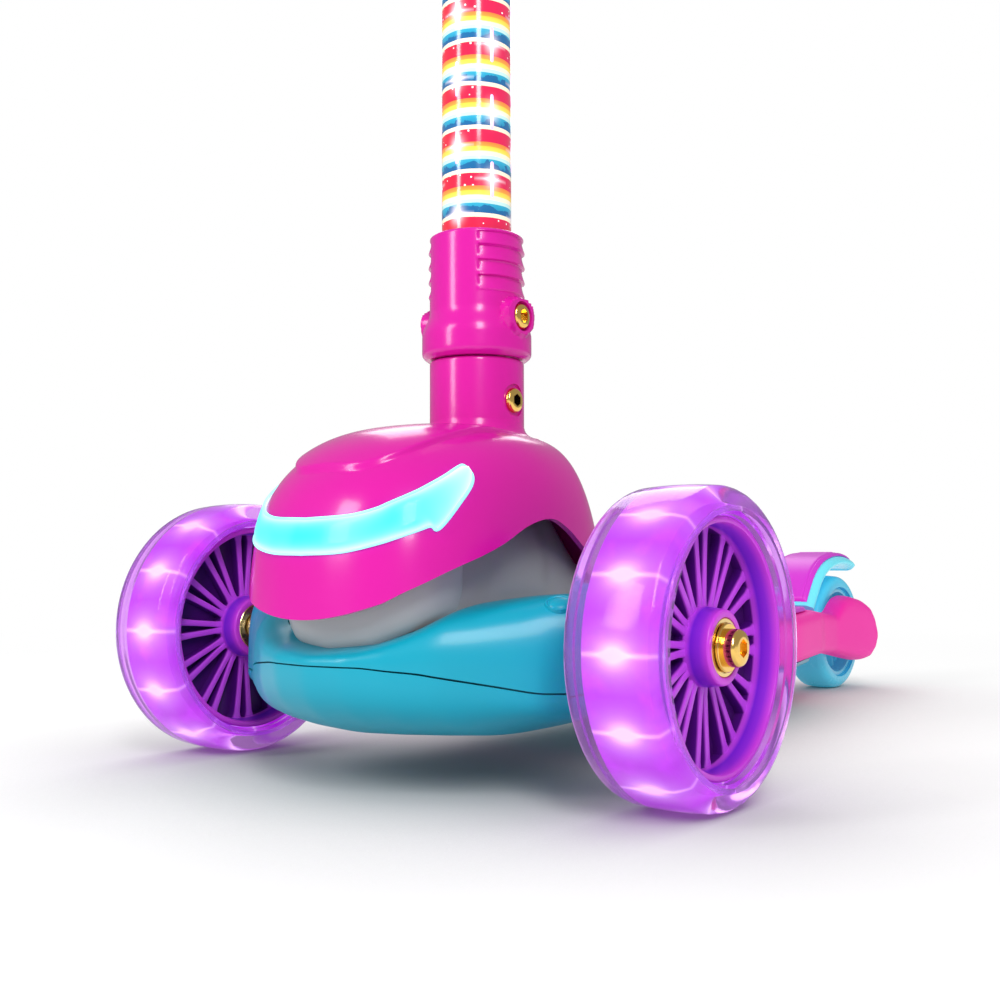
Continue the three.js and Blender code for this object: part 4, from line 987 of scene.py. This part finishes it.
# The core is painted darker towards the wheel's middle plane: painted shade deep between the bars, where
# the inside of the wheel lies in shade.
from_centre = calc(tree, "ABSOLUTE", calc(tree, "SUBTRACT", calc(tree, "ABSOLUTE", axes[1]), TRACK / 1000))
core_painted_shade = ramp(tree, calc(tree, "MULTIPLY", from_centre, 1000 / 16), [
    (0.0, srgb(58, 8, 92)), (0.30, srgb(80, 12, 124)), (0.35, srgb(196, 74, 228)),
            (0.42, srgb(190, 66, 226)),
    (0.52, srgb(122, 34, 214)), (0.72, srgb(150, 44, 220)), (0.90, srgb(208, 64, 226))])
skin_node = [node for node in tree.nodes if node.bl_idname == "ShaderNodeGroup"][0]
tree.links.new(core_painted_shade, skin_node.inputs[0])
# A dark violet disc across the wheel's middle plane: a painted shade sheet for the shade inside the wheel
# that shows between the bars.
shade_disc_paint = plastic("violet_painted_shade_disc", srgb(66, 8, 100), gloss=0.4, drift=0.1)

# The clear tyre: colourless urethane tinted lilac, with a faint flow of cast streaks.
clear, tree, shader = new_material("clear_lilac_tyre")
spot = placed(tree)
cast = noise(tree, spot, 26.0, 4, 0.6)
tree.links.new(blend_colours(tree, cast, srgb(222, 134, 252), srgb(240, 188, 255)),
               shader.inputs["Base Color"])
tree.links.new(calc(tree, "MULTIPLY_ADD", cast, 0.14, 0.04), shader.inputs["Roughness"])
set_inputs(shader, {"Transmission Weight": 0.86, "IOR": 1.24, "Specular IOR Level": 0.4})
relief(tree, shader, noise(tree, spot, 160.0, 3), 0.08, 0.0006)

# The lamp ring: a magenta band with twelve lamps, each a white star with a flat streak across.
glow, tree, shader = new_material("wheel_lamp_band")
spot, axes = position(tree)
angle = calc(tree, "ARCTAN2", calc(tree, "SUBTRACT", axes[2], AXLE[2] / 1000),
             calc(tree, "SUBTRACT", axes[0], AXLE[0] / 1000))
turn = calc(tree, "MULTIPLY", angle, 6 / math.pi)
off_lamp = calc(tree, "MULTIPLY", calc(tree, "SUBTRACT", turn, calc(tree, "ROUND", turn)), math.pi / 6 * 54)
off_middle = calc(tree, "MULTIPLY", calc(tree, "SUBTRACT", calc(tree, "ABSOLUTE", axes[1]), TRACK / 1000),
                  1000)
star = calc(tree, "ADD", bell(off_lamp, 3.6, off_middle, 5.0),
            calc(tree, "MULTIPLY", bell(off_lamp, 0.9, off_middle, 14.0), 0.7))
star = calc(tree, "ADD", star, calc(tree, "MULTIPLY", bell(off_lamp, 8.5, off_middle, 10.0), 0.40))
streak = calc(tree, "MULTIPLY",
              calc(tree, "MAXIMUM", calc(tree, "SUBTRACT", noise(tree, spot, 75.0, 3), 0.5), 0.0), 1.6)
band = blend_colours(tree, streak, srgb(160, 10, 192), srgb(216, 60, 234))
lit_band = blend_colours(tree, calc(tree, "MINIMUM", star, 1.0), band, srgb(255, 244, 255))
lights_up(tree, shader, lit_band, 0.95)
shader.inputs["Roughness"].default_value = 0.2

bearing_gold = metal("bearing_gold", (0.90, 0.66, 0.28, 1), gloss=0.22)


def core_mesh(name, centre, half, rim_r, rim_wall, hub_r, web_half, bars, spread, bar_wide):
    """A wheel core round Y: a flanged rim, a hub with seats for its bearings, and pairs of straight
    bars between them. Each bar is a rounded box swept from hub to rim, turned to its place."""
    x, y, z = centre
    rim = [(rim_r - rim_wall, half), (rim_r - 0.4, half), (rim_r, half - 0.8), (rim_r, -half + 0.8),
           (rim_r - 0.4, -half), (rim_r - rim_wall, -half), (rim_r - rim_wall - 1.2, -web_half),
           (rim_r - rim_wall - 1.2, web_half)]
    hub = [(11.05, half), (hub_r - 1.0, half), (hub_r - 0.4, half - 0.6), (hub_r + 0.6, web_half),
           (hub_r + 0.6, -web_half), (hub_r - 0.4, -half + 0.6), (hub_r - 1.0, -half), (11.05, -half),
           (11.05, -half + 7.2), (6.0, -half + 7.2), (6.0, half - 7.2), (11.05, half - 7.2)]
    grids = [lathe(rounded(rim, 0.5, 2, closed=True), centre, "Y", 120),
             lathe(rounded(hub, 0.3, 2, closed=True), centre, "Y", 72)]
    rings = skin(name + "_rings", grids, along=True, crease=32)
    section = rounded(SQUARE, 0.5, 3, closed=True)
    reach = np.array([hub_r - 0.6, hub_r + 1.2, hub_r + 4, (hub_r + rim_r) / 2, rim_r - rim_wall - 4,
                      rim_r - rim_wall - 0.9])
    wide = bar_wide * np.array([1.0, 0.72, 0.62, 0.66, 0.85, 1.35])
    bar_grids = []
    for k in range(bars):
        turn = (k // 2) * 4 * np.pi / bars + (spread if k % 2 else -spread)
        sideways = section[:, None, 0] * wide[None, :] / 2
        deep = section[:, None, 1] * (web_half + 0.4 * np.cos(np.linspace(0, np.pi, 6)))[None, :]
        out = reach[None, :] + 0 * sideways
        px = out * np.cos(turn) - sideways * np.sin(turn)
        pz = out * np.sin(turn) + sideways * np.cos(turn)
        bar_grids.append(np.stack([x + px, y + deep, z + pz], -1))
    spokes = skin(name + "_bars", bar_grids, crease=40)
    return rings, spokes


def join_meshes(name, pieces):
    """One piece out of several that belong to the same moulding."""
    work = bmesh.new()
    for piece in pieces:
        work.from_mesh(piece.data)
    data = bpy.data.meshes.new(name)
    work.to_mesh(data)
    work.free()
    made = bpy.data.objects.new(name, data)
    bpy.context.collection.objects.link(made)
    for piece in pieces:
        bpy.data.objects.remove(piece)
    data.shade_smooth()
    data.set_sharp_from_angle(angle=math.radians(35))
    return made


def bearing(name, centre, wide):
    """A shielded ball bearing round Y: outer race, recessed shield with a fine groove, inner race."""
    h = wide / 2
    ring = [(11.0, h - 0.4), (10.6, h), (9.3, h), (9.0, h - 0.5), (5.9, h - 0.5), (5.7, h), (4.3, h),
            (4.05, h - 0.3),
            (4.05, -h + 0.3), (4.3, -h), (5.7, -h), (5.9, -h + 0.5), (9.0, -h + 0.5), (9.3, -h), (10.6, -h),
            (11.0, -h + 0.4)]
    return skin(name, lathe(ring, centre, "Y", 64), along=True, crease=25)


def tyre_profile(outer_r, half, inner_r, shoulder, lip):
    """A tyre's ring in (radius, along): a nearly flat tread, round shoulders and a moulded side step."""
    a = np.linspace(0, np.pi / 2, 9)
    tread_half = half - shoulder
    arc = np.column_stack([outer_r - shoulder + shoulder * np.sin(a), tread_half + shoulder * np.cos(a)])
    crown = np.column_stack([outer_r - 0.5 * (np.linspace(-1, 1, 9) ** 2),
                             -np.linspace(-1, 1, 9) * tread_half])[1:-1]
    arc[:, 0] -= 0.5
    side = np.array([(inner_r, half - lip), (inner_r + 2.2, half - lip), (inner_r + 3.0, half - 0.9),
                     (outer_r - shoulder - 3.2, half)])
    right = np.concatenate([side, arc])
    return np.concatenate([right, crown, (right * [1, -1])[::-1]])


for label, s in SIDES:
    centre = (AXLE[0], s * TRACK, AXLE[2])
    body = "wheel_" + label
    tyre = skin(f"clear_tyre_{label}",
                lathe(tyre_profile(TYRE_R, TYRE_HALF, 49.0, 7.0, 3.0), centre, "Y", 144), along=True,
                crease=32)
    dress(tyre, body, clear, "clear_tyre", f"wheel_tyre_{label}")
    ring = rounded([(48.6, 13.5), (52.4, 12.5), (52.4, -12.5), (48.6, -13.5)], 0.6, 2, closed=True)
    lamps = skin(f"lamp_ring_{label}", lathe(ring, centre, "Y", 120), along=True)
    dress(lamps, body, glow, "wheel_light", f"wheel_lights_{label}")
    rings, spokes = core_mesh(f"front_core_{label}", centre, 15.0, CORE_R, 2.6, 14.4, 6.0, 24,
                              math.radians(5.2), 5.0)
    core = join_meshes(f"front_core_{label}", [rings, spokes])
    dress(core, body, violet, "wheel_core", f"wheel_core_{label}")
    # The disc of painted shade between the bars.
    shade_disc_ring = [(14.2, 1.4), (46.5, 1.4), (46.5, -1.4), (14.2, -1.4)]
    shade_disc = skin(f"core_shade_disc_{label}", lathe(shade_disc_ring, centre, "Y", 120), along=True)
    dress(shade_disc, body, shade_disc_paint, "wheel_core")
    washer_ring = [(4.2, s * 140.0), (8.8, s * 140.0), (9.0, s * 140.3), (9.0, s * 141.1), (8.7, s * 141.4),
                   (4.2, s * 141.4)]
    washer = skin(f"axle_washer_{label}", lathe(washer_ring, (AXLE[0], 0, AXLE[2]), "Y", 64), along=True)
    dress(washer, "knuckle_" + label, gold, "gold_metal")
    for place, at in (("outer", 136.5), ("inner", 113.5)):
        race = bearing(f"{place}_race_{label}", (AXLE[0], s * at, AXLE[2]), 6.6)
        dress(race, body, bearing_gold, "bearing_steel", f"{place}_bearing_{label}")
    axle = bolt(f"axle_bolt_head_{label}", (AXLE[0], 0, AXLE[2]), s, 7.0, 147.0, 139.9, 3.9, 100.0, 3.0)
    dress(axle, "knuckle_" + label, gold, "gold_metal", f"axle_bolt_{label}")

# ---------------------------------------------------------------------------------------------------
# The deck: one hollow pink moulding, waisted towards the back, that ends in the fork for the rear
# wheel. A teal tray closes it underneath, and a soft ribbed pad is let into its top.
DECK_PLAN = [(-70.3, 58), (-110, 62), (-200, 62), (-262, 58), (-330, 43), (-360, 33.5), (-395, 28),
             (-474, 28)]
DECK_TOP = [(-70, 60), (-335, 60), (-372, 57), (-398, 54.5), (-406, 60), (-414, 64.5), (-428, 66.5),
            (-450, 63.5),
            (-464, 58.5), (-470, 52), (-473, 44), (-474, 40)]
DECK_LOW = [(-70, 30), (-337, 30), (-393, 28), (-430, 22), (-452, 19), (-464, 20), (-471, 25), (-474, 33)]


def table_at(x, table):
    """Values of a table of (x, value) at x, in straight lines, whichever way its x runs."""
    rows = np.array(sorted(table))
    return np.interp(x, rows[:, 0], rows[:, 1])


station = np.concatenate([np.linspace(-70, -335, 50), np.linspace(-338, -458, 60),
                          np.linspace(-459, -474, 26)])
wide = smoothed(table_at(station, DECK_PLAN), 6)
high = smoothed(table_at(station, DECK_TOP), 3)
low = smoothed(table_at(station, DECK_LOW), 3)
turn = np.linspace(0, 2 * np.pi, 97)[:-1, None]
turn = turn - 0.16 * np.sin(4 * turn)
power = 7.0
c = np.sign(np.cos(turn)) * np.abs(np.cos(turn)) ** (2 / power)
s = np.sign(np.sin(turn)) * np.abs(np.sin(turn)) ** (2 / power)
deck_y = wide[None, :] * c
deck_z = (high + low)[None, :] / 2 + (high - low)[None, :] / 2 * s
deck_x = FRONT_X + station[None, :] + 0 * c
deck = skin("deck_moulding", np.stack([deck_x, deck_y, deck_z], -1), crease=40)
slot_plan = rounded([(-520, -16), (-386, -16), (-386, 16), (-520, 16)], 14, 8, closed=True)
slot_grid = np.stack([np.column_stack([slot_plan + [FRONT_X, 0],
                                       np.full(len(slot_plan), level)]) for level in (0, 100)], 1)
carve(deck, [skin("wheel_slot", slot_grid)], 38)
# The deck's pink glows faintly with its own colour: painted glow, for the deck has no lamp.
deck_pink_painted_glow = plastic("deck_pink_painted_glow", srgb(244, 34, 168), gloss=0.5, drift=0.03, glow=0.14)
dress(deck, "chassis", deck_pink_painted_glow, "pink_shell", "deck_frame")

tray_line = [(x, w - 5.5) for x, w in DECK_PLAN[:5]]
tray_line = [(-76, 50)] + tray_line[1:4] + [(-326, 38)]
plan = rounded(np.array([(FRONT_X + x, w) for x, w in tray_line] + [(FRONT_X + x, -w) for x,
        w in tray_line[::-1]]), 9, 6, closed=True)
middle = plan.mean(0)
levels = [(1.0, 30.6), (1.0, 28.9), (0.985, 27.9), (0.96, 27.4), (0.90, 27.2), (0.5, 27.2)]
tray = skin("deck_tray",
            np.stack([np.column_stack([middle + (plan - middle) * k, np.full(len(plan), z)]) for k,
                      z in levels], 1))
dress(tray, "chassis", teal, "teal_shell", "deck_bottom_cover")

# The foot pad: soft rubber with rows of low oval studs inside a plain border.
PAD_LINE = [(-92, 48), (-110, 55), (-200, 55.5), (-262, 51), (-318, 38), (-326, 30)]
PAD_Z, PAD_TOP = 60.0, 62.6
pad_half = curve_at(PAD_LINE, np.linspace(0, 1, 220))
across = np.linspace(-1, 1, 150)
pad_x = FRONT_X + pad_half[:, :1] + 0 * across
pad_y = pad_half[:, 1:] * across
edge_far = np.minimum((1 - np.abs(across)) * pad_half[:, 1:],
                      np.minimum(pad_half[:, :1] + 326, -92 - pad_half[:, :1]))
stud_x = ((pad_x - FRONT_X + 400) / 11.0) % 1.0
row_odd = np.floor((pad_x - FRONT_X + 400) / 11.0) % 2
stud_y = ((pad_y + 200) / 13.0 + 0.5 * row_odd) % 1.0
stud = np.exp(-(np.abs((stud_x - 0.5) / 0.27) ** 4 + np.abs((stud_y - 0.5) / 0.36) ** 4))
pad_z = PAD_Z + 0.3 + (PAD_TOP - PAD_Z - 0.9) * step(edge_far, 0, 1.6) + 0.6 * stud * step(edge_far, 5.5,
        7.5) \
    - 0.5 * step(edge_far, 4.2, 5.2) * (1 - step(edge_far, 5.6, 6.4))
pad = skin("foot_pad", np.stack([pad_x, pad_y, pad_z], -1), around=False, crease=50, wall=0.6)
mat = plastic("pad_rubber", srgb(214, 62, 214), gloss=0.5, drift=0.08, scuff=0.2, fineness=2200.0,
              bump=0.25)
dress(pad, "chassis", mat, "grip_mat", "deck_grip_pad")

# ---------------------------------------------------------------------------------------------------
# The rear wheel: a light-blue core with a solid light-blue tyre, on two bearings between the fork arms.
REAR = (-237.0, 0.0, 40.0)
rear_tyre = skin("rear_tyre_ring", lathe(tyre_profile(40.0, 13.0, 31.8, 5.0, 1.8), REAR, "Y", 120),
                 along=True, crease=32)
# The rear tyre glows faintly with its own blue: painted glow, for the rear wheel has no lamps.
blue_tyre = plastic("blue_urethane", srgb(84, 208, 238), gloss=0.26, drift=0.06, bump=0.01, coat=0.1,
                    glow=0.12)
dress(rear_tyre, "rear_wheel", blue_tyre, "rear_tyre", "rear_tyre")
rings, spokes = core_mesh("rear_core", REAR, 11.0, 31.6, 3.4, 13.4, 4.0, 12, math.radians(9.0), 3.4)
rear_core = join_meshes("rear_wheel_core", [rings, spokes])
# The rear core glows faintly too: painted glow.
dress(rear_core, "rear_wheel",
      plastic("rear_core_blue", srgb(96, 206, 236), gloss=0.24, drift=0.08, coat=0.2, glow=0.1),
      "rear_wheel_core", "rear_core")
for label, at in (("left", 7.5), ("right", -7.5)):
    race = bearing(f"rear_race_{label}", (REAR[0], at, REAR[2]), 6.6)
    dress(race, "rear_wheel", bearing_gold, "bearing_steel", f"rear_bearing_{label}")
for label, s in SIDES:
    rear_bolt = bolt(f"rear_axle_{label}_end", (REAR[0], 0, REAR[2]), s, 4.0, 27.4, 16.4, 3.9, -15.0 * s,
                     2.2)
    dress(rear_bolt, "chassis", gold, "gold_metal", "rear_axle_bolt")

# The brake fender: a cyan arch over the rear wheel, hinged at the deck and pressed down by foot, with
# a ribbed pink tread on top.
FENDER_TOP = [(-369.5, 61), (-377, 71), (-387.5, 82), (-401, 89.4), (-417, 93.2), (-432, 94), (-444, 92.8),
              (-452, 90.4), (-457, 86.8)]
FENDER_SECTION = [(-20.9, -2.8), (-17, 0), (17, 0), (20.9, -2.8), (20.9, -5.4), (17.5, -7.4), (-17.5, -7.4),
                  (-20.9, -5.4)]
section = rounded(FENDER_SECTION, 2.6, 5, closed=True)
t = np.linspace(0, 1, 80)


def fender_place(t, y):
    """A point of the arch's ridge line and the unit vector into it, at t along and y across: the tail is
    round in plan, so t is shortened by 0.14 |y / 21|^3."""
    near = t * (1 - 0.14 * np.abs(y / 21) ** 3)
    ridge, further = curve_at(FENDER_TOP, near * 0.998), curve_at(FENDER_TOP, near * 0.998 + 0.002)
    run = unit(further - ridge)
    return ridge, np.stack([-run[..., 1], run[..., 0]], -1)


along, across = np.meshgrid(t, section[:, 0], indexing="xy")
ridge, inward = fender_place(along, across)
close_up = np.sqrt(np.clip(1 - np.clip((t - 0.95) / 0.05, 0, 1) ** 2, 0.02, 1))
depth = 3.7 + (-section[:, 1:] - 3.7) * close_up[None, :]
arch_at = ridge + inward * depth[..., None]
fender = skin("brake_arch", np.stack([FRONT_X + arch_at[..., 0], across, arch_at[..., 1]], -1), crease=50)
# The fender's cyan glows faintly with its own colour: painted glow, for the fender has no lamp.
cyan = plastic("cyan_moulding", srgb(112, 230, 246), gloss=0.26, drift=0.05, coat=0.2, glow=0.14)
dress(fender, "brake", cyan, "cyan_fender", "brake_fender")
hinge_x, hinge_z = -185.0, 47.0
arm_x = np.linspace(0, 1, 12)[None, :]
ring_section = rounded(SQUARE, 0.7, 3, closed=True)
arm_reach = hinge_x + (FRONT_X - 386 - hinge_x) * arm_x
arm_mid = hinge_z - 0.2 + 15.0 * arm_x ** 1.2
arm_grid = np.stack([arm_reach + ring_section[:, :1] * 3.6, 0 * arm_reach + ring_section[:, 1:] * 15.2,
                     arm_mid + 0 * ring_section[:, :1]], -1)
arm = skin("brake_arm", arm_grid, crease=40)
dress(arm, "brake", cyan, "cyan_fender")
along, across = np.meshgrid(np.linspace(0.03, 0.93, 140), np.linspace(-1, 1, 41), indexing="ij")
line, inward = fender_place(along, 16.8 * across)
ribs = 0.5 * (0.5 + 0.5 * np.sin(along * 2 * np.pi * 16)) * (1 - step(np.abs(across), 0.62, 0.68))
ribs = ribs * step(along, 0.52, 0.54) * (1 - step(along, 0.80, 0.82))
border = np.clip(np.minimum(along - 0.03, 0.93 - along) * 40, 0, 1) ** 0.5 * (1 - np.abs(across) ** 14)
groove = 0.5 * step(np.abs(across), 0.76, 0.79) * (1 - step(np.abs(across), 0.82, 0.85))
up = 0.3 + 2.2 * border + ribs - groove
tread_at = line - inward * up[..., None]
tread = skin("brake_tread", np.stack([FRONT_X + tread_at[..., 0], 16.8 * across, tread_at[..., 1]], -1),
             around=False, crease=40, wall=0.5)
dress(tread, "brake",
      plastic("tread_rubber", srgb(218, 58, 216), gloss=0.38, drift=0.06, fineness=2000.0, bump=0.05),
      "pink_shell", "brake_pedal_pad")

# ---------------------------------------------------------------------------------------------------
# The height clamp: a split moulded collar at the top of the rainbow tube, drawn tight by a gold lever
# on its cross bolt. Below it the gold height button sits in its hole in the tube.
profile = [(16.2, 472.0), (19.3, 472.0), (20.5, 474.0), (20.5, 496.0), (18.6, 503.0), (11.3, 503.0),
           (11.3, 498.2), (16.2, 498.2)]
collar = skin("clamp_collar_ring", lathe(rounded(profile, 1.0, 4, closed=True), (STEM_X, 0, 0), "Z", 96),
              along=True, crease=40)
carve(collar, [block("split", (STEM_X - 30, -1.5, 465), (STEM_X - 8, 1.5, 510))])
ears = []
for label, s in SIDES:
    near, far = sorted((s * 2.0, s * 12.0))
    outline = rounded([(STEM_X - 33.5, 477.5), (STEM_X - 16, 475.5), (STEM_X - 16, 499),
                       (STEM_X - 33.5, 495)], 5, 6, closed=True)
    ear = np.stack([np.column_stack([outline[:, 0], np.full(len(outline), y),
                                     outline[:, 1]]) for y in (near, far)], 1)
    ears.append(skin("ear", ear, crease=40))
collar = join_meshes("clamp_collar_ring", [collar] + ears)
dress(collar, "stem", pink, "pink_shell", "clamp_collar")
t = np.linspace(0, 1, 40)
lever_line = curve_at([(STEM_X - 29, 20.5), (STEM_X - 14, 26.1), (STEM_X + 4, 26.6), (STEM_X + 18.4, 24.0)],
                      t)
lever_thick = np.interp(t, [0, 0.15, 0.8, 1], [4.2, 2.9, 2.2, 2.6])
lever_high = np.interp(t, [0, 0.1, 0.3, 0.9, 1], [7.5, 7.9, 6.8, 6.2, 4.6])
section = rounded(SQUARE, 0.7, 4, closed=True)
run = unit(np.gradient(lever_line, axis=0))
sideways = section[:, :1] * lever_thick[None, :] / 1.6
lever_x = np.minimum(lever_line[None, :, 0] - run[None, :, 1] * sideways, STEM_X + 18.9)
lever_y = lever_line[None, :, 1] + run[None, :, 0] * sideways
lever = skin("clamp_lever_arm",
             np.stack([lever_x, lever_y, 486 + section[:, 1:] * lever_high[None, :]], -1), crease=40)
dress(lever, "clamp_lever", gold, "gold_metal", "clamp_lever")
button = [(0, 190.4), (2.6, 190.3), (3.6, 189.6), (4.0, 188.4), (4.0, 178.4), (0, 178.4)]
button_cap = skin("height_button", lathe(rounded(button, 0.4, 3), (0, 0, 455.0), "X", 48), crease=40)
dress(button_cap, "height_lock_button", gold, "gold_metal", "height_lock_button")

# ---------------------------------------------------------------------------------------------------
# The handlebar: an aluminium tube slides in the stem and carries a moulded tee, with a straight
# crossbar and two ribbed rubber grips.
BAR_Z = 650.0
profile = [(9.2, 420), (11.0, 420), (11.0, 637.5), (9.2, 637.5)]
inner_tube = skin("bar_post", lathe(rounded(profile, 0.4, 3, closed=True), (STEM_X, 0, 0), "Z", 72),
                  along=True)
carve(inner_tube, [block("front_slot", (STEM_X + 6, -4.4, 428), (STEM_X + 16, 4.4, 538))])
dress(inner_tube, "handlebar", aluminium, "aluminium_tube", "handlebar_inner_tube")
tee_post = skin("tee_post",
                lathe(rounded([(0, 616), (13.8, 616), (15.0, 619), (14.4, 634), (13.0, 646), (0, 646)], 1.2,
                              5),
                                  (STEM_X, 0, 0), "Z", 96), crease=40)
tee_bar = skin("tee_bar",
               lathe(rounded([(0, -32), (13.4, -32), (14.2, -29), (15.0, 0), (14.2, 29), (13.4, 32),
                              (0, 32)], 1.2, 5),
                                (STEM_X, 0, BAR_Z), "Y", 96), crease=40)
tee = join_meshes("handlebar_tee_moulding", [tee_post, tee_bar])
dress(tee, "handlebar", pink, "pink_shell", "handlebar_tee")
crossbar = skin("crossbar",
                lathe(rounded([(0, -138), (11, -138), (11, 138), (0, 138)], 0.8, 3), (STEM_X, 0, BAR_Z),
                      "Y", 72))
dress(crossbar, "handlebar", aluminium, "aluminium_tube", "handlebar_crossbar")
grip_rubber = plastic("grip_rubber", srgb(30, 168, 196), gloss=0.62, drift=0.06, scuff=0.2, fineness=2400.0,
                      bump=0.3)
for label, s in SIDES:
    y = np.linspace(36.5, 141.8, 240)
    swell = 14.2 + 0.7 * np.cos((y - 90) / 20)
    ridge = 0.5 * (0.5 + 0.5 * np.tanh(6 * np.sin((y - 42) * 2 * np.pi / 5.0))) * (y > 44) * (y < 134)
    flange = 4.2 * np.exp(-((y - 38.6) / 1.7) ** 4) + 1.0 * np.exp(-((y - 138.4) / 2.6) ** 4)
    r = np.minimum(swell + ridge + flange, 18.4)
    r = r * np.sqrt(np.clip(1 - np.clip((y - 138) / 4.4, 0, 1) ** 2.6, 0, 1))
    line = np.column_stack([np.concatenate([[0], r, [0]]), s * np.concatenate([[36.5], y, [141.8]])])
    grip = skin(f"grip_{label}", lathe(line, (STEM_X, 0, BAR_Z), "Y", 72), crease=45)
    dress(grip, "handlebar", grip_rubber, "grip_rubber", f"handlebar_grip_{label}")

# ---------------------------------------------------------------------------------------------------
# The inner works keep their shapes from the frame: shafts, springs, knuckles, tie rod, stops, core
# tube and light strings. They get their own finishes here.
rubber = plastic("black_rubber", srgb(34, 34, 38), gloss=0.7, drift=0.1, scuff=0.2, fineness=2200.0,
                 bump=0.3)
board = plastic("light_string_board", srgb(236, 238, 240), gloss=0.35, drift=0.06, bump=0.05, glow=0.2)
FINISHES = {
    steel: ["lean_pivot_shaft", "centering_spring", "brake_hinge_pin", "brake_spring", "lean_lever",
            "tie_rod",
            "knuckle_left", "knuckle_right", "light_magnet_left", "light_magnet_right", "sleeve_spring",
            "clamp_bolt"],
    rubber: ["lean_stop_left", "lean_stop_right"],
    aluminium: ["stem_core_tube", "stem_tongue"],
    board: ["stem_led_harness"],
}
for finish, names in FINISHES.items():
    for name in names:
        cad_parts[name].data.materials.clear()
        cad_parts[name].data.materials.append(finish)
